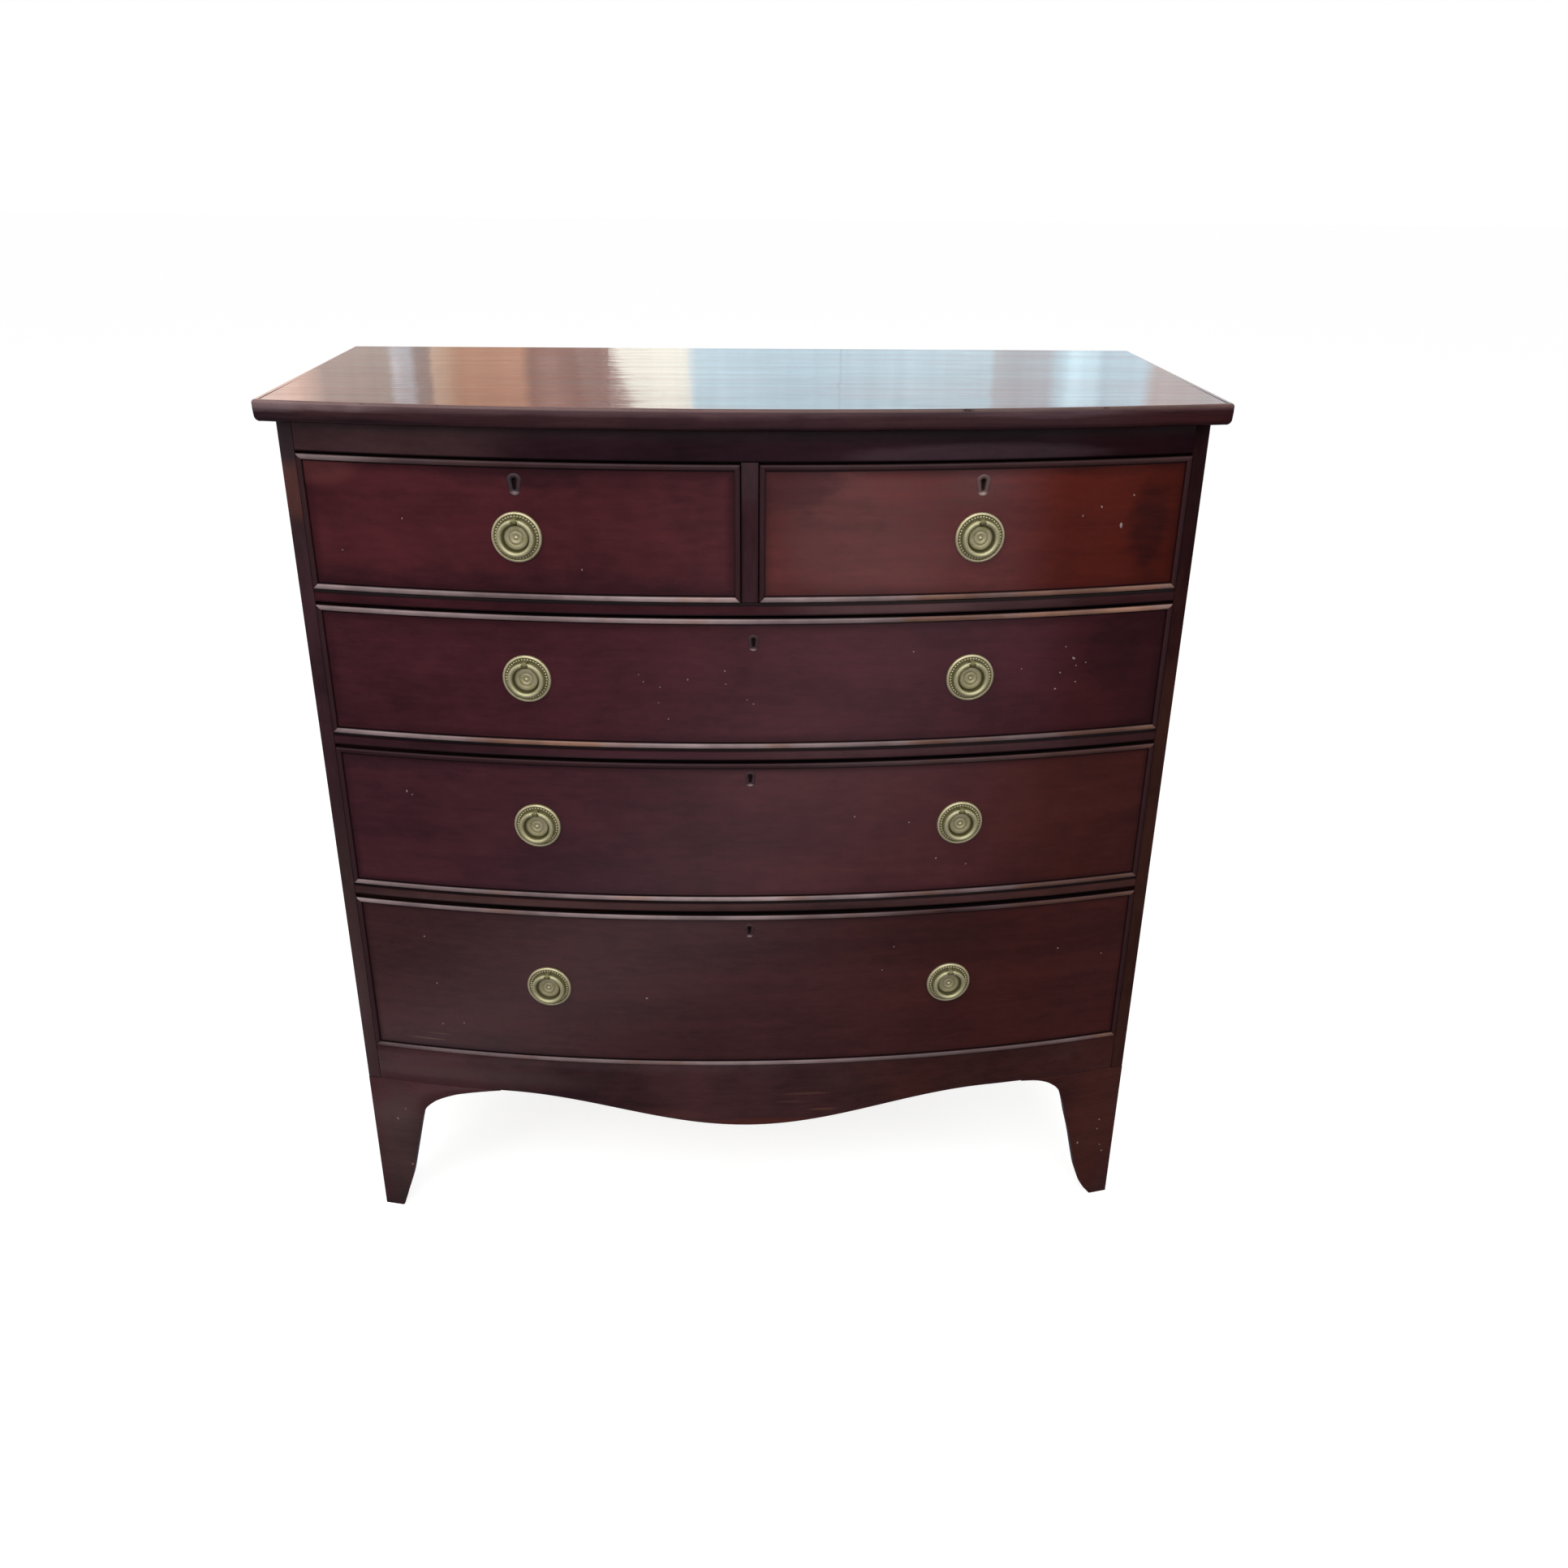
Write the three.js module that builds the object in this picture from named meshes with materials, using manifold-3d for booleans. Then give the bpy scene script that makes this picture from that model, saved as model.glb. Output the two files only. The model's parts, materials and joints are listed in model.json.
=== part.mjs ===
// Bow front chest of drawers: two short drawers over three long ones, on bracket feet.
// Millimetres, +Z up. X runs across the front, which bows out towards -Y. The floor is Z = 0,
// and the origin is the middle of the outer box at floor level.
// Every board is a closed solid that keeps a hair of room, called gap, to the one beside it.

import * as THREE from 'three';
import { mergeVertices } from 'three/addons/utils/BufferGeometryUtils.js';
import Module from 'manifold-3d';

const wasm = await Module();
wasm.setup();

// Carcass
const carcassWidth = 970;
const sideDepth = 397;
const bow = 57;
const sideThickness = 16;
const baseHeight = 206;
const backThickness = 10;
const backRebate = 8;
const housingDepth = 5;

// Rails, dividers and dustboards
const railThickness = 14.5;
const railDepth = 50;
const railShoulder = 12;
const topRailHeight = 32;
const muntinWidth = 18;
const dividerThickness = 18;
const dustboardThickness = 10;
const bottomThickness = 12;

// Height of each drawer opening
const shortOpening = 147;
const upperOpening = 152.5;
const middleOpening = 178.5;
const lowerOpening = 217;

// Room over each drawer front, where the old boards have shrunk
const shortTopRoom = 2;
const upperTopRoom = 2.5;
const middleTopRoom = 3;
const lowerTopRoom = 4;

// Top board
const topThickness = 22;
const topOverhangSide = 16;
const topOverhangFront = 20;
const topBow = 48;
const topEdgeRound = 5;

// Apron and bracket feet
const apronHeight = 51.5;
const apronThickness = 22;
const apronDrop = 41;
const archSpan = 300;
const footThickness = 22;
const footLength = 133;
const footTip = 3;
const kneeHeight = 162;
const kneeWidth = 74;
const ankleHeight = 45;
const ankleWidth = 46;
const toeWidth = 25;

// Drawers
const drawerClearance = 0.8;
const drawerBackRoom = 12;
const frontThickness = 20;
const lapThickness = 8;
const liningThickness = 9;
const drawerBottomThickness = 7;
const drawerBottomRise = 8;
const grooveDepth = 4;
const sideDrop = 3;
const backDrop = 12;
const beadThickness = 6;
const beadStandout = 3;

// Ring pulls
const pullOffset = 241;
const shortPullDrop = 6.5;
const upperPullRise = 2;
const middlePullRise = 4.5;
const lowerPullRise = 0.5;
const plateRadius = 28;
const plateThickness = 1.6;
const rimThickness = 3.2;
const rimWidth = 5;
const rimRound = 1.6;
const rosetteRadius = 12.8;
const rosetteRise = 4.8;
const rosetteShoulder = 3.4;
const bossRadius = 3.2;
const bossRise = 5.6;
const studRadius = 2.5;
const studTail = 5;
const ringRadius = 18.4;
const ringSection = 3;
const ringStandoff = 7.4;
const pinRadius = 1.3;
const pinEngagement = 1.4;
const lugWidth = 5;
const lugWall = 1.7;

// Clearances and overruns
const gap = 0.3;
const overrun = 1;
const weld = 0.0001;

// Facets round a curve
const bowSteps = 16;
const shortBowSteps = 8;
const apronSteps = 30;
const roundSteps = 3;
const kneeSteps = 5;
const plateFacets = 16;
const ringSteps = 20;
const ringFacets = 8;
const studFacets = 8;

// Places worked out from the sizes
const halfWidth = carcassWidth / 2;
const innerHalf = halfWidth - sideThickness;
const topHalf = halfWidth + topOverhangSide;
const cornerY = (topBow + topOverhangFront - sideDepth) / 2;
const backY = cornerY + sideDepth;
const backPanelY = backY - backThickness;
const railBackY = cornerY + railDepth;
const apronTop = baseHeight + apronHeight;
const lowerRailZ = apronTop + lowerOpening;
const middleOpeningZ = lowerRailZ + railThickness;
const middleRailZ = middleOpeningZ + middleOpening;
const upperOpeningZ = middleRailZ + railThickness;
const upperRailZ = upperOpeningZ + upperOpening;
const shortOpeningZ = upperRailZ + railThickness;
const topRailZ = shortOpeningZ + shortOpening;
const topBoardZ = topRailZ + topRailHeight;
const drawerBackY = backPanelY - drawerBackRoom;

// Materials
const mahogany = new THREE.MeshStandardMaterial({ color: 0x4a221f, roughness: 0.3, metalness: 0 });
const darkMahogany = new THREE.MeshStandardMaterial({ color: 0x38201e, roughness: 0.35, metalness: 0 });
const pine = new THREE.MeshStandardMaterial({ color: 0xb08a5c, roughness: 0.8, metalness: 0 });
const brass = new THREE.MeshStandardMaterial({ color: 0xa89b62, roughness: 0.35, metalness: 1 });

// How far an arc of the given half chord and rise stands out at x
function arcRise(x, half, rise) {
  const radius = (half * half + rise * rise) / (2 * rise);
  return Math.sqrt(radius * radius - x * x) - (radius - rise);
}

// The bowed front face of the rails and drawers
function frontY(x) {
  return cornerY - arcRise(x, halfWidth, bow);
}

// The bowed front edge of the top board
function topFrontY(x) {
  return cornerY - topOverhangFront - arcRise(x, topHalf, topBow);
}

// The turn of the front face at x, about the vertical
function frontTurn(x) {
  const radius = (halfWidth * halfWidth + bow * bow) / (2 * bow);
  return Math.asin(x / radius);
}

// Evenly spread values from low to high, both ends included
function spread(low, high, steps) {
  return Array.from({ length: steps + 1 }, (_, i) => low + ((high - low) * i) / steps);
}

// A flat loop as two coordinates, seen along its main direction
function flatten(loop) {
  const normal = new THREE.Vector3();
  loop.forEach((p, i) => {
    const q = loop[(i + 1) % loop.length];
    normal.x += (p.y - q.y) * (p.z + q.z);
    normal.y += (p.z - q.z) * (p.x + q.x);
    normal.z += (p.x - q.x) * (p.y + q.y);
  });
  const size = [Math.abs(normal.x), Math.abs(normal.y), Math.abs(normal.z)];
  const main = size.indexOf(Math.max(...size));
  const pick = [(p) => [p.y, p.z], (p) => [p.z, p.x], (p) => [p.x, p.y]][main];
  return loop.map((p) => new THREE.Vector2(...pick(p)));
}

// Triangles that fill a flat loop, wound the way the loop runs
function fill(loop) {
  const flat = flatten(loop);
  const turn = Math.sign(THREE.ShapeUtils.area(flat));
  return THREE.ShapeUtils.triangulateShape(flat, []).map(([a, b, c]) => {
    const same = Math.sign(THREE.ShapeUtils.area([flat[a], flat[b], flat[c]])) === turn;
    return same ? [a, b, c] : [a, c, b];
  });
}

// A closed geometry from points and faces, with equal points joined and its faces turned out
function closedGeometry(points, faces) {
  const raw = new THREE.BufferGeometry().setFromPoints(points);
  raw.setIndex(faces.flat());
  return tidyGeometry(raw);
}

function tidyGeometry(source) {
  const bare = new THREE.BufferGeometry();
  bare.setAttribute('position', source.getAttribute('position').clone());
  bare.setIndex(source.getIndex());
  const joined = mergeVertices(bare, weld);
  const position = joined.getAttribute('position');
  const index = joined.getIndex().array;
  const kept = [];
  let volume = 0;
  const [a, b, c] = [new THREE.Vector3(), new THREE.Vector3(), new THREE.Vector3()];
  for (let i = 0; i < index.length; i += 3) {
    const [u, v, w] = [index[i], index[i + 1], index[i + 2]];
    if (u !== v && v !== w && w !== u) {
      kept.push([u, v, w]);
      a.fromBufferAttribute(position, u);
      b.fromBufferAttribute(position, v);
      c.fromBufferAttribute(position, w);
      volume += a.dot(b.cross(c));
    }
  }
  joined.setIndex(kept.flatMap(([u, v, w]) => (volume < 0 ? [u, w, v] : [u, v, w])));
  joined.computeVertexNormals();
  return joined;
}

// A solid that passes through loops of equal length, closed at the first and last
function loft(loops) {
  const count = loops[0].length;
  const faces = [];
  for (let k = 0; k + 1 < loops.length; k += 1) {
    for (let i = 0; i < count; i += 1) {
      const j = (i + 1) % count;
      const near = k * count;
      const far = near + count;
      faces.push([near + i, near + j, far + j], [near + i, far + j, far + i]);
    }
  }
  const last = (loops.length - 1) * count;
  fill(loops[0]).forEach(([a, b, c]) => faces.push([a, c, b]));
  fill(loops[loops.length - 1]).forEach(([a, b, c]) => faces.push([last + a, last + b, last + c]));
  return closedGeometry(loops.flat(), faces);
}

// A board with the plan outline given as [x, y] pairs, from one height to another
function board(outline, low, high) {
  const level = (z) => outline.map(([x, y]) => new THREE.Vector3(x, y, z));
  return loft([level(low), level(high)]);
}

// A square block between two corners
function block([x0, y0, z0], [x1, y1, z1]) {
  return board([[x0, y0], [x1, y0], [x1, y1], [x0, y1]], z0, z1);
}

// Geometry to a cutting solid and back
function solidOf(geometry) {
  const tidy = tidyGeometry(geometry);
  return new wasm.Manifold(new wasm.Mesh({
    numProp: 3,
    vertProperties: new Float32Array(tidy.getAttribute('position').array),
    triVerts: new Uint32Array(tidy.getIndex().array),
  }));
}

function geometryOf(solid) {
  const mesh = solid.getMesh();
  const geometry = new THREE.BufferGeometry();
  geometry.setAttribute('position', new THREE.BufferAttribute(mesh.vertProperties.slice(), mesh.numProp));
  geometry.setIndex(new THREE.BufferAttribute(mesh.triVerts.slice(), 1));
  return tidyGeometry(geometry);
}

function join(...pieces) {
  return geometryOf(pieces.map(solidOf).reduce((whole, piece) => whole.add(piece)));
}

function cut(piece, ...holes) {
  return geometryOf(holes.map(solidOf).reduce((whole, hole) => whole.subtract(hole), solidOf(piece)));
}

const chest = new THREE.Group();

function addPiece(parent, name, geometry, material) {
  const mesh = new THREE.Mesh(geometry, material);
  mesh.name = name;
  parent.add(mesh);
}

// The far side of a plan outline mirrored about the middle of the chest
function mirrored(outline, side) {
  return outline.map(([x, y]) => [x * side, y]);
}

// Top board: its front and side edges are rounded, its back edge is square
function topBoard() {
  const level = (inset, z) => [
    ...spread(inset - topHalf, topHalf - inset, bowSteps).map((x) => [x, topFrontY(x) + inset]),
    [topHalf - inset, backY],
    [inset - topHalf, backY],
  ].map(([x, y]) => new THREE.Vector3(x, y, z));
  const turns = spread(0, Math.PI / 2, roundSteps);
  const inset = (turn) => topEdgeRound * (1 - Math.sin(turn));
  const rise = (turn) => topEdgeRound * (1 - Math.cos(turn));
  return loft([
    ...turns.map((turn) => level(inset(turn), topBoardZ + rise(turn))),
    ...turns.reverse().map((turn) => level(inset(turn), topBoardZ + topThickness - rise(turn))),
  ]);
}

// A rail: bowed in front, straight behind, with a stub tenon at each end
function rail(low, high) {
  const shoulder = innerHalf - gap;
  const tenon = innerHalf + housingDepth - gap;
  const tenonY = cornerY + railShoulder + gap;
  return board([
    ...spread(-shoulder, shoulder, bowSteps).map((x) => [x, frontY(x)]),
    [shoulder, tenonY],
    [tenon, tenonY],
    [tenon, railBackY],
    [-tenon, railBackY],
    [-tenon, tenonY],
    [-shoulder, tenonY],
  ], low, high);
}

// One side of the carcass, housed for the rails, dustboards and bottom board
function carcassSide(side) {
  const outline = [
    [halfWidth, cornerY],
    [halfWidth, backY],
    [halfWidth - backRebate, backY],
    [halfWidth - backRebate, backPanelY - gap],
    [innerHalf, backPanelY - gap],
    [innerHalf, frontY(innerHalf)],
  ];
  const housing = (front, back, low, high) => block(
    [side * (innerHalf - overrun), front, low - gap],
    [side * (innerHalf + housingDepth), back, high + gap],
  );
  const mortiseY = cornerY + railShoulder;
  const railHousings = [lowerRailZ, middleRailZ, upperRailZ].flatMap((low) => {
    const high = low + railThickness;
    return [
      housing(mortiseY, railBackY + gap, low, high),
      housing(railBackY, backPanelY, high - dustboardThickness, high),
    ];
  });
  return cut(
    board(mirrored(outline, side), baseHeight + gap, topBoardZ - gap),
    ...railHousings,
    housing(mortiseY, railBackY, topRailZ, topBoardZ),
    housing(bottomFrontY(innerHalf) - gap, backPanelY, apronTop - bottomThickness, apronTop),
  );
}

// A dustboard behind a rail, its upper face level with the rail's
function dustboard(railTop) {
  const half = innerHalf + housingDepth - gap;
  return block(
    [-half, railBackY + gap, railTop - dustboardThickness],
    [half, backPanelY - gap - gap, railTop],
  );
}

// The front edge of the bottom board, close behind the apron
function bottomFrontY(x) {
  return frontY(x) + apronThickness + gap;
}

function bottomBoard() {
  const half = innerHalf + housingDepth - gap;
  return board([
    ...spread(-half, half, bowSteps).map((x) => [x, bottomFrontY(x)]),
    [half, backPanelY - gap - gap],
    [-half, backPanelY - gap - gap],
  ], apronTop - bottomThickness, apronTop);
}

// The lower edge of the apron: it hangs lowest in the middle and rises to an arch on each side
function apronEdge(x) {
  const share = Math.min(Math.abs(x) / archSpan, 1);
  return baseHeight - apronDrop * (1 + Math.cos(Math.PI * share)) / 2;
}

function apron() {
  const half = innerHalf - gap;
  return loft(spread(-half, half, apronSteps).map((x) => [
    new THREE.Vector3(x, frontY(x), apronEdge(x)),
    new THREE.Vector3(x, frontY(x) + apronThickness, apronEdge(x)),
    new THREE.Vector3(x, frontY(x) + apronThickness, apronTop),
    new THREE.Vector3(x, frontY(x), apronTop),
  ]));
}

// The inner edge of a bracket foot as [distance from the corner, height], from the floor up:
// a chamfered toe, a straight taper and a quarter round that runs out under the carcass
function footEdge() {
  const crown = baseHeight - gap - footTip;
  const knee = spread(0, Math.PI / 2, kneeSteps).map((turn) => [
    footLength - (footLength - kneeWidth) * Math.cos(turn),
    kneeHeight + (crown - kneeHeight) * Math.sin(turn),
  ]);
  return [[toeWidth, 0], [ankleWidth, ankleHeight], ...knee];
}

// One bracket of a foot, lofted away from its corner; place gives the outer face and the
// inner face at a distance from the corner, as [x, y] pairs
function footBracket(place) {
  const top = baseHeight - gap;
  const stations = [[0, 0], ...footEdge()];
  return loft(stations.map(([distance, low]) => {
    const [[x0, y0], [x1, y1]] = place(distance);
    return [
      new THREE.Vector3(x0, y0, low),
      new THREE.Vector3(x1, y1, low),
      new THREE.Vector3(x1, y1, top),
      new THREE.Vector3(x0, y0, top),
    ];
  }));
}

function sideBracket(side, startY, direction) {
  return footBracket((distance) => {
    const y = startY + direction * distance;
    return [[side * halfWidth, y], [side * (halfWidth - footThickness), y]];
  });
}

function frontFoot(side) {
  const front = footBracket((distance) => {
    const x = halfWidth - distance;
    return [[side * x, frontY(x)], [side * x, frontY(x) + footThickness]];
  });
  return join(front, sideBracket(side, cornerY, 1));
}

function backFoot(side) {
  const back = footBracket((distance) => {
    const x = side * (halfWidth - distance);
    return [[x, backY], [x, backY - footThickness]];
  });
  return join(back, sideBracket(side, backY, -1));
}

// Carcass
addPiece(chest, 'top_board', topBoard(), mahogany);
addPiece(chest, 'side_left', carcassSide(-1), darkMahogany);
addPiece(chest, 'side_right', carcassSide(1), darkMahogany);
addPiece(chest, 'back_panel', block(
  [backRebate + gap - halfWidth, backPanelY, baseHeight + gap],
  [halfWidth - backRebate - gap, backY, topBoardZ - gap],
), pine);
addPiece(chest, 'top_rail', rail(topRailZ, topBoardZ - gap), darkMahogany);
addPiece(chest, 'rail_upper', rail(upperRailZ, upperRailZ + railThickness), darkMahogany);
addPiece(chest, 'rail_middle', rail(middleRailZ, middleRailZ + railThickness), darkMahogany);
addPiece(chest, 'rail_lower', rail(lowerRailZ, lowerRailZ + railThickness), darkMahogany);
addPiece(chest, 'muntin', board([
  ...spread(-muntinWidth / 2, muntinWidth / 2, 2).map((x) => [x, frontY(x)]),
  [muntinWidth / 2, railBackY],
  [-muntinWidth / 2, railBackY],
], shortOpeningZ + gap, topRailZ - gap), darkMahogany);
addPiece(chest, 'drawer_divider', block(
  [-dividerThickness / 2, railBackY + gap, shortOpeningZ + gap],
  [dividerThickness / 2, backPanelY - gap, topBoardZ - gap],
), pine);
addPiece(chest, 'dustboard_upper', dustboard(shortOpeningZ), pine);
addPiece(chest, 'dustboard_middle', dustboard(upperOpeningZ), pine);
addPiece(chest, 'dustboard_lower', dustboard(middleOpeningZ), pine);
addPiece(chest, 'bottom_board', bottomBoard(), pine);
addPiece(chest, 'apron', apron(), darkMahogany);
addPiece(chest, 'foot_front_left', frontFoot(-1), darkMahogany);
addPiece(chest, 'foot_front_right', frontFoot(1), darkMahogany);
addPiece(chest, 'foot_back_left', backFoot(-1), darkMahogany);
addPiece(chest, 'foot_back_right', backFoot(1), darkMahogany);

// Where a ring pull sits: the group turns with the bow, and its -Y points straight out
function pullPlace(x, z) {
  const group = new THREE.Group();
  group.position.set(x, frontY(x), z);
  group.rotation.z = frontTurn(x);
  return group;
}

// A round bar along a pull's own X or Y, between two points of that axis
function bar(radius, facets, place) {
  return loft(place.map((at) => Array.from({ length: facets }, (_, i) => {
    const turn = (2 * Math.PI * (i + 1 / 2)) / facets;
    return at(radius * Math.cos(turn), radius * Math.sin(turn));
  })));
}

// The stud of a pull, or with a wider radius the hole for it, from one depth to another
function studBar(radius, outer, inner) {
  return bar(radius, studFacets, [outer, inner].map((y) => (a, b) => new THREE.Vector3(a, y, b)));
}

// Height of the ring's pin above the middle of the plate, and how far the ring's open ends stand
const ringOpening = Math.asin((lugWidth / 2 + gap) / (ringRadius - ringSection));
const pinHeight = ringRadius * Math.cos(ringOpening);

// Back plate: a pressed disc with a raised rim, a domed rosette, the stud and the pierced lug
function pullPlate() {
  const rimInner = plateRadius - rimWidth;
  const profile = [
    [0, -frontThickness - studTail],
    [studRadius, -frontThickness - studTail],
    [studRadius, gap],
    [plateRadius, gap],
    [plateRadius, plateThickness],
    [plateRadius - rimRound, rimThickness],
    [rimInner + rimRound, rimThickness],
    [rimInner, plateThickness],
    [rosetteRadius, plateThickness],
    [rosetteRadius - rimRound, rosetteShoulder],
    [bossRadius + rimRound, rosetteRise],
    [bossRadius, bossRise],
    [0, bossRise],
  ].map(([radius, out]) => new THREE.Vector2(radius, -out));
  const plate = new THREE.LatheGeometry(profile, plateFacets);
  const reach = pinRadius + gap + lugWall;
  const lug = block(
    [-lugWidth / 2, -ringStandoff - reach, pinHeight - reach],
    [lugWidth / 2, -(gap + plateThickness) / 2, pinHeight + reach],
  );
  const bore = bar(pinRadius + gap, ringFacets, [-lugWidth, lugWidth].map(
    (x) => (a, b) => new THREE.Vector3(x, a - ringStandoff, b + pinHeight),
  ));
  return cut(join(plate, lug), bore);
}

// Ring: open at the top, where a thin pin through the lug joins its ends
function pullRing() {
  const loops = spread(ringOpening, 2 * Math.PI - ringOpening, ringSteps).map((turn) => {
    const out = new THREE.Vector3(Math.sin(turn), 0, Math.cos(turn));
    const centre = out.clone().multiplyScalar(ringRadius);
    centre.y = -ringStandoff;
    return Array.from({ length: ringFacets }, (_, i) => {
      const angle = (2 * Math.PI * i) / ringFacets;
      const point = centre.clone().addScaledVector(out, ringSection * Math.cos(angle));
      point.y += ringSection * Math.sin(angle);
      return point;
    });
  });
  const reach = lugWidth / 2 + gap + pinEngagement;
  const pin = bar(pinRadius, ringFacets, [-reach, reach].map(
    (x) => (a, b) => new THREE.Vector3(x, a - ringStandoff, b + pinHeight),
  ));
  return join(loft(loops), pin);
}

const plateShape = pullPlate();
const ringShape = pullRing();

// A drawer between two x values and two heights, with its ring pulls given as { label, x }
function addDrawer(name, left, right, low, high, steps, pullZ, pulls) {
  const lining = liningThickness + gap;
  const xs = spread(left, right, steps);
  const inner = spread(left + lining, right - lining, steps);
  const strip = (list, near, far) => [
    ...list.map((x) => [x, frontY(x) + near]),
    ...[...list].reverse().map((x) => [x, frontY(x) + far]),
  ];
  const bottomLow = low + drawerBottomRise;
  const bottomHigh = bottomLow + drawerBottomThickness;

  // The front, lapped over the sides, with its cockbead and the groove for the bottom
  const blank = board([
    ...xs.map((x) => [x, frontY(x)]),
    [right, frontY(right) + lapThickness],
    [right - lining, frontY(right - lining) + lapThickness],
    ...[...inner].reverse().map((x) => [x, frontY(x) + frontThickness]),
    [left + lining, frontY(left + lining) + lapThickness],
    [left, frontY(left) + lapThickness],
  ], low, high);
  const endBead = (x0, x1) => board(strip([x0, x1], -beadStandout, overrun), low, high);
  const front = join(
    blank,
    board(strip(xs, -beadStandout, overrun), high - beadThickness, high),
    board(strip(xs, -beadStandout, overrun), low, low + beadThickness),
    endBead(left, left + beadThickness),
    endBead(right - beadThickness, right),
  );
  const groove = board(
    strip(inner, frontThickness - grooveDepth - gap, frontThickness + overrun),
    bottomLow - gap,
    bottomHigh + gap,
  );
  const studHoles = pulls.map(({ x }) => {
    const place = pullPlace(x, pullZ);
    place.updateMatrix();
    return studBar(studRadius + gap, -overrun, frontThickness + overrun).applyMatrix4(place.matrix);
  });
  addPiece(chest, `${name}_front`, cut(front, groove, ...studHoles), mahogany);

  // Each side is grooved for the bottom and ends against the lap of the front
  const addSide = (label, outer, inward) => {
    const face = outer + inward * liningThickness;
    const sideBoard = board([
      [outer, frontY(outer) + lapThickness + gap],
      [face, frontY(face) + lapThickness + gap],
      [face, drawerBackY],
      [outer, drawerBackY],
    ], low, high - sideDrop);
    const slot = block(
      [face - inward * grooveDepth, frontY(face), bottomLow - gap],
      [face + inward * overrun, drawerBackY + overrun, bottomHigh + gap],
    );
    addPiece(chest, `${name}_${label}`, cut(sideBoard, slot), pine);
  };
  addSide('side_left', left, 1);
  addSide('side_right', right, -1);

  addPiece(chest, `${name}_back`, block(
    [left + lining, drawerBackY - liningThickness, bottomHigh + gap],
    [right - lining, drawerBackY, high - backDrop],
  ), pine);

  const held = spread(
    left + liningThickness - grooveDepth + gap,
    right - liningThickness + grooveDepth - gap,
    steps,
  );
  addPiece(chest, `${name}_bottom`, board([
    ...held.map((x) => [x, frontY(x) + frontThickness - grooveDepth]),
    [held[held.length - 1], drawerBackY],
    [held[0], drawerBackY],
  ], bottomLow, bottomHigh), pine);

  pulls.forEach(({ label, x }) => {
    const place = pullPlace(x, pullZ);
    addPiece(place, `pull_${label}_plate`, plateShape, brass);
    addPiece(place, `pull_${label}_ring`, ringShape, brass);
    chest.add(place);
  });
}

const openingEdge = innerHalf - drawerClearance;
const muntinEdge = muntinWidth / 2 + drawerClearance;

const shortDrawers = [
  ['short_left', -openingEdge, -muntinEdge, -pullOffset],
  ['short_right', muntinEdge, openingEdge, pullOffset],
];
shortDrawers.forEach(([label, left, right, x]) => {
  addDrawer(
    `drawer_${label}`, left, right,
    shortOpeningZ + drawerClearance, topRailZ - shortTopRoom, shortBowSteps,
    shortOpeningZ + shortOpening / 2 - shortPullDrop,
    [{ label, x }],
  );
});

const longDrawers = [
  ['upper', upperOpeningZ, upperOpening, upperTopRoom, upperPullRise],
  ['middle', middleOpeningZ, middleOpening, middleTopRoom, middlePullRise],
  ['lower', apronTop, lowerOpening, lowerTopRoom, lowerPullRise],
];
longDrawers.forEach(([label, low, height, room, rise]) => {
  addDrawer(
    `drawer_${label}`, -openingEdge, openingEdge,
    low + drawerClearance, low + height - room, bowSteps,
    low + height / 2 + rise,
    [{ label: `${label}_left`, x: -pullOffset }, { label: `${label}_right`, x: pullOffset }],
  );
});

export default chest;
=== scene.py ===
# Bow front chest of drawers in polished mahogany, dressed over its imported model.
# Metres, +Z up. X runs across the front, which bows out towards -Y, and the floor is Z = 0.

import json
import math

import bmesh
import bpy
from mathutils import Matrix, Vector


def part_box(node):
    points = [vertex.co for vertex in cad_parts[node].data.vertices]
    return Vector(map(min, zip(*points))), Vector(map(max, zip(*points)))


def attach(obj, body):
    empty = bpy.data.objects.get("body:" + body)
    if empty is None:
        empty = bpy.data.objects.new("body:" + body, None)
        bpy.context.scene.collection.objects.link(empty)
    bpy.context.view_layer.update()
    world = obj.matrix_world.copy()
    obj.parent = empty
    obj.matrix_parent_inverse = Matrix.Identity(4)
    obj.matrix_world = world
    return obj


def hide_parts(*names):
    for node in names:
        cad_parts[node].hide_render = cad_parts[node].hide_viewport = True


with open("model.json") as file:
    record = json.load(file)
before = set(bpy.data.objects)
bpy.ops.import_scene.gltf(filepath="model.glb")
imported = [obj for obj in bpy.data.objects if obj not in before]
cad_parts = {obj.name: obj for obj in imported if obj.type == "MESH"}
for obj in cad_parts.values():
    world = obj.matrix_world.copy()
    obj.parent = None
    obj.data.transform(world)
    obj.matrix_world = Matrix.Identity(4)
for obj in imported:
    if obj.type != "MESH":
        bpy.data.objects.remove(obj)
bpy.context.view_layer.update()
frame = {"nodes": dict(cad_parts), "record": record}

# Sizes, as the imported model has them
MM = 0.001
HALF_WIDTH = 485 * MM
SIDE_DEPTH = 397 * MM
SIDE_THICKNESS = 16 * MM
BOW = 57 * MM
JOINT = 0.3 * MM
HOUSING = 5 * MM
RAIL_DEPTH = 50 * MM
RAIL_SHOULDER = 12 * MM
TOP_SIDE = 16 * MM
TOP_FRONT = 20 * MM
TOP_BOW = 48 * MM
APRON_DROP = 41 * MM
ARCH_SPAN = 300 * MM
APRON_THICKNESS = 22 * MM
FOOT_THICKNESS = 22 * MM
TOE = 25 * MM
FRONT_THICKNESS = 20 * MM
LAP = 8 * MM
LINING = 9 * MM
BOTTOM_RISE = 8 * MM
BOTTOM_THICKNESS = 7 * MM
GROOVE = 4 * MM
BEAD = 6 * MM
BEAD_STANDOUT = 3 * MM
PULL_OFFSET = 241 * MM
RING_STANDOFF = 7.4 * MM
PIN_HEIGHT = 18.093 * MM
PIN_RADIUS = 1.3 * MM

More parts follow.
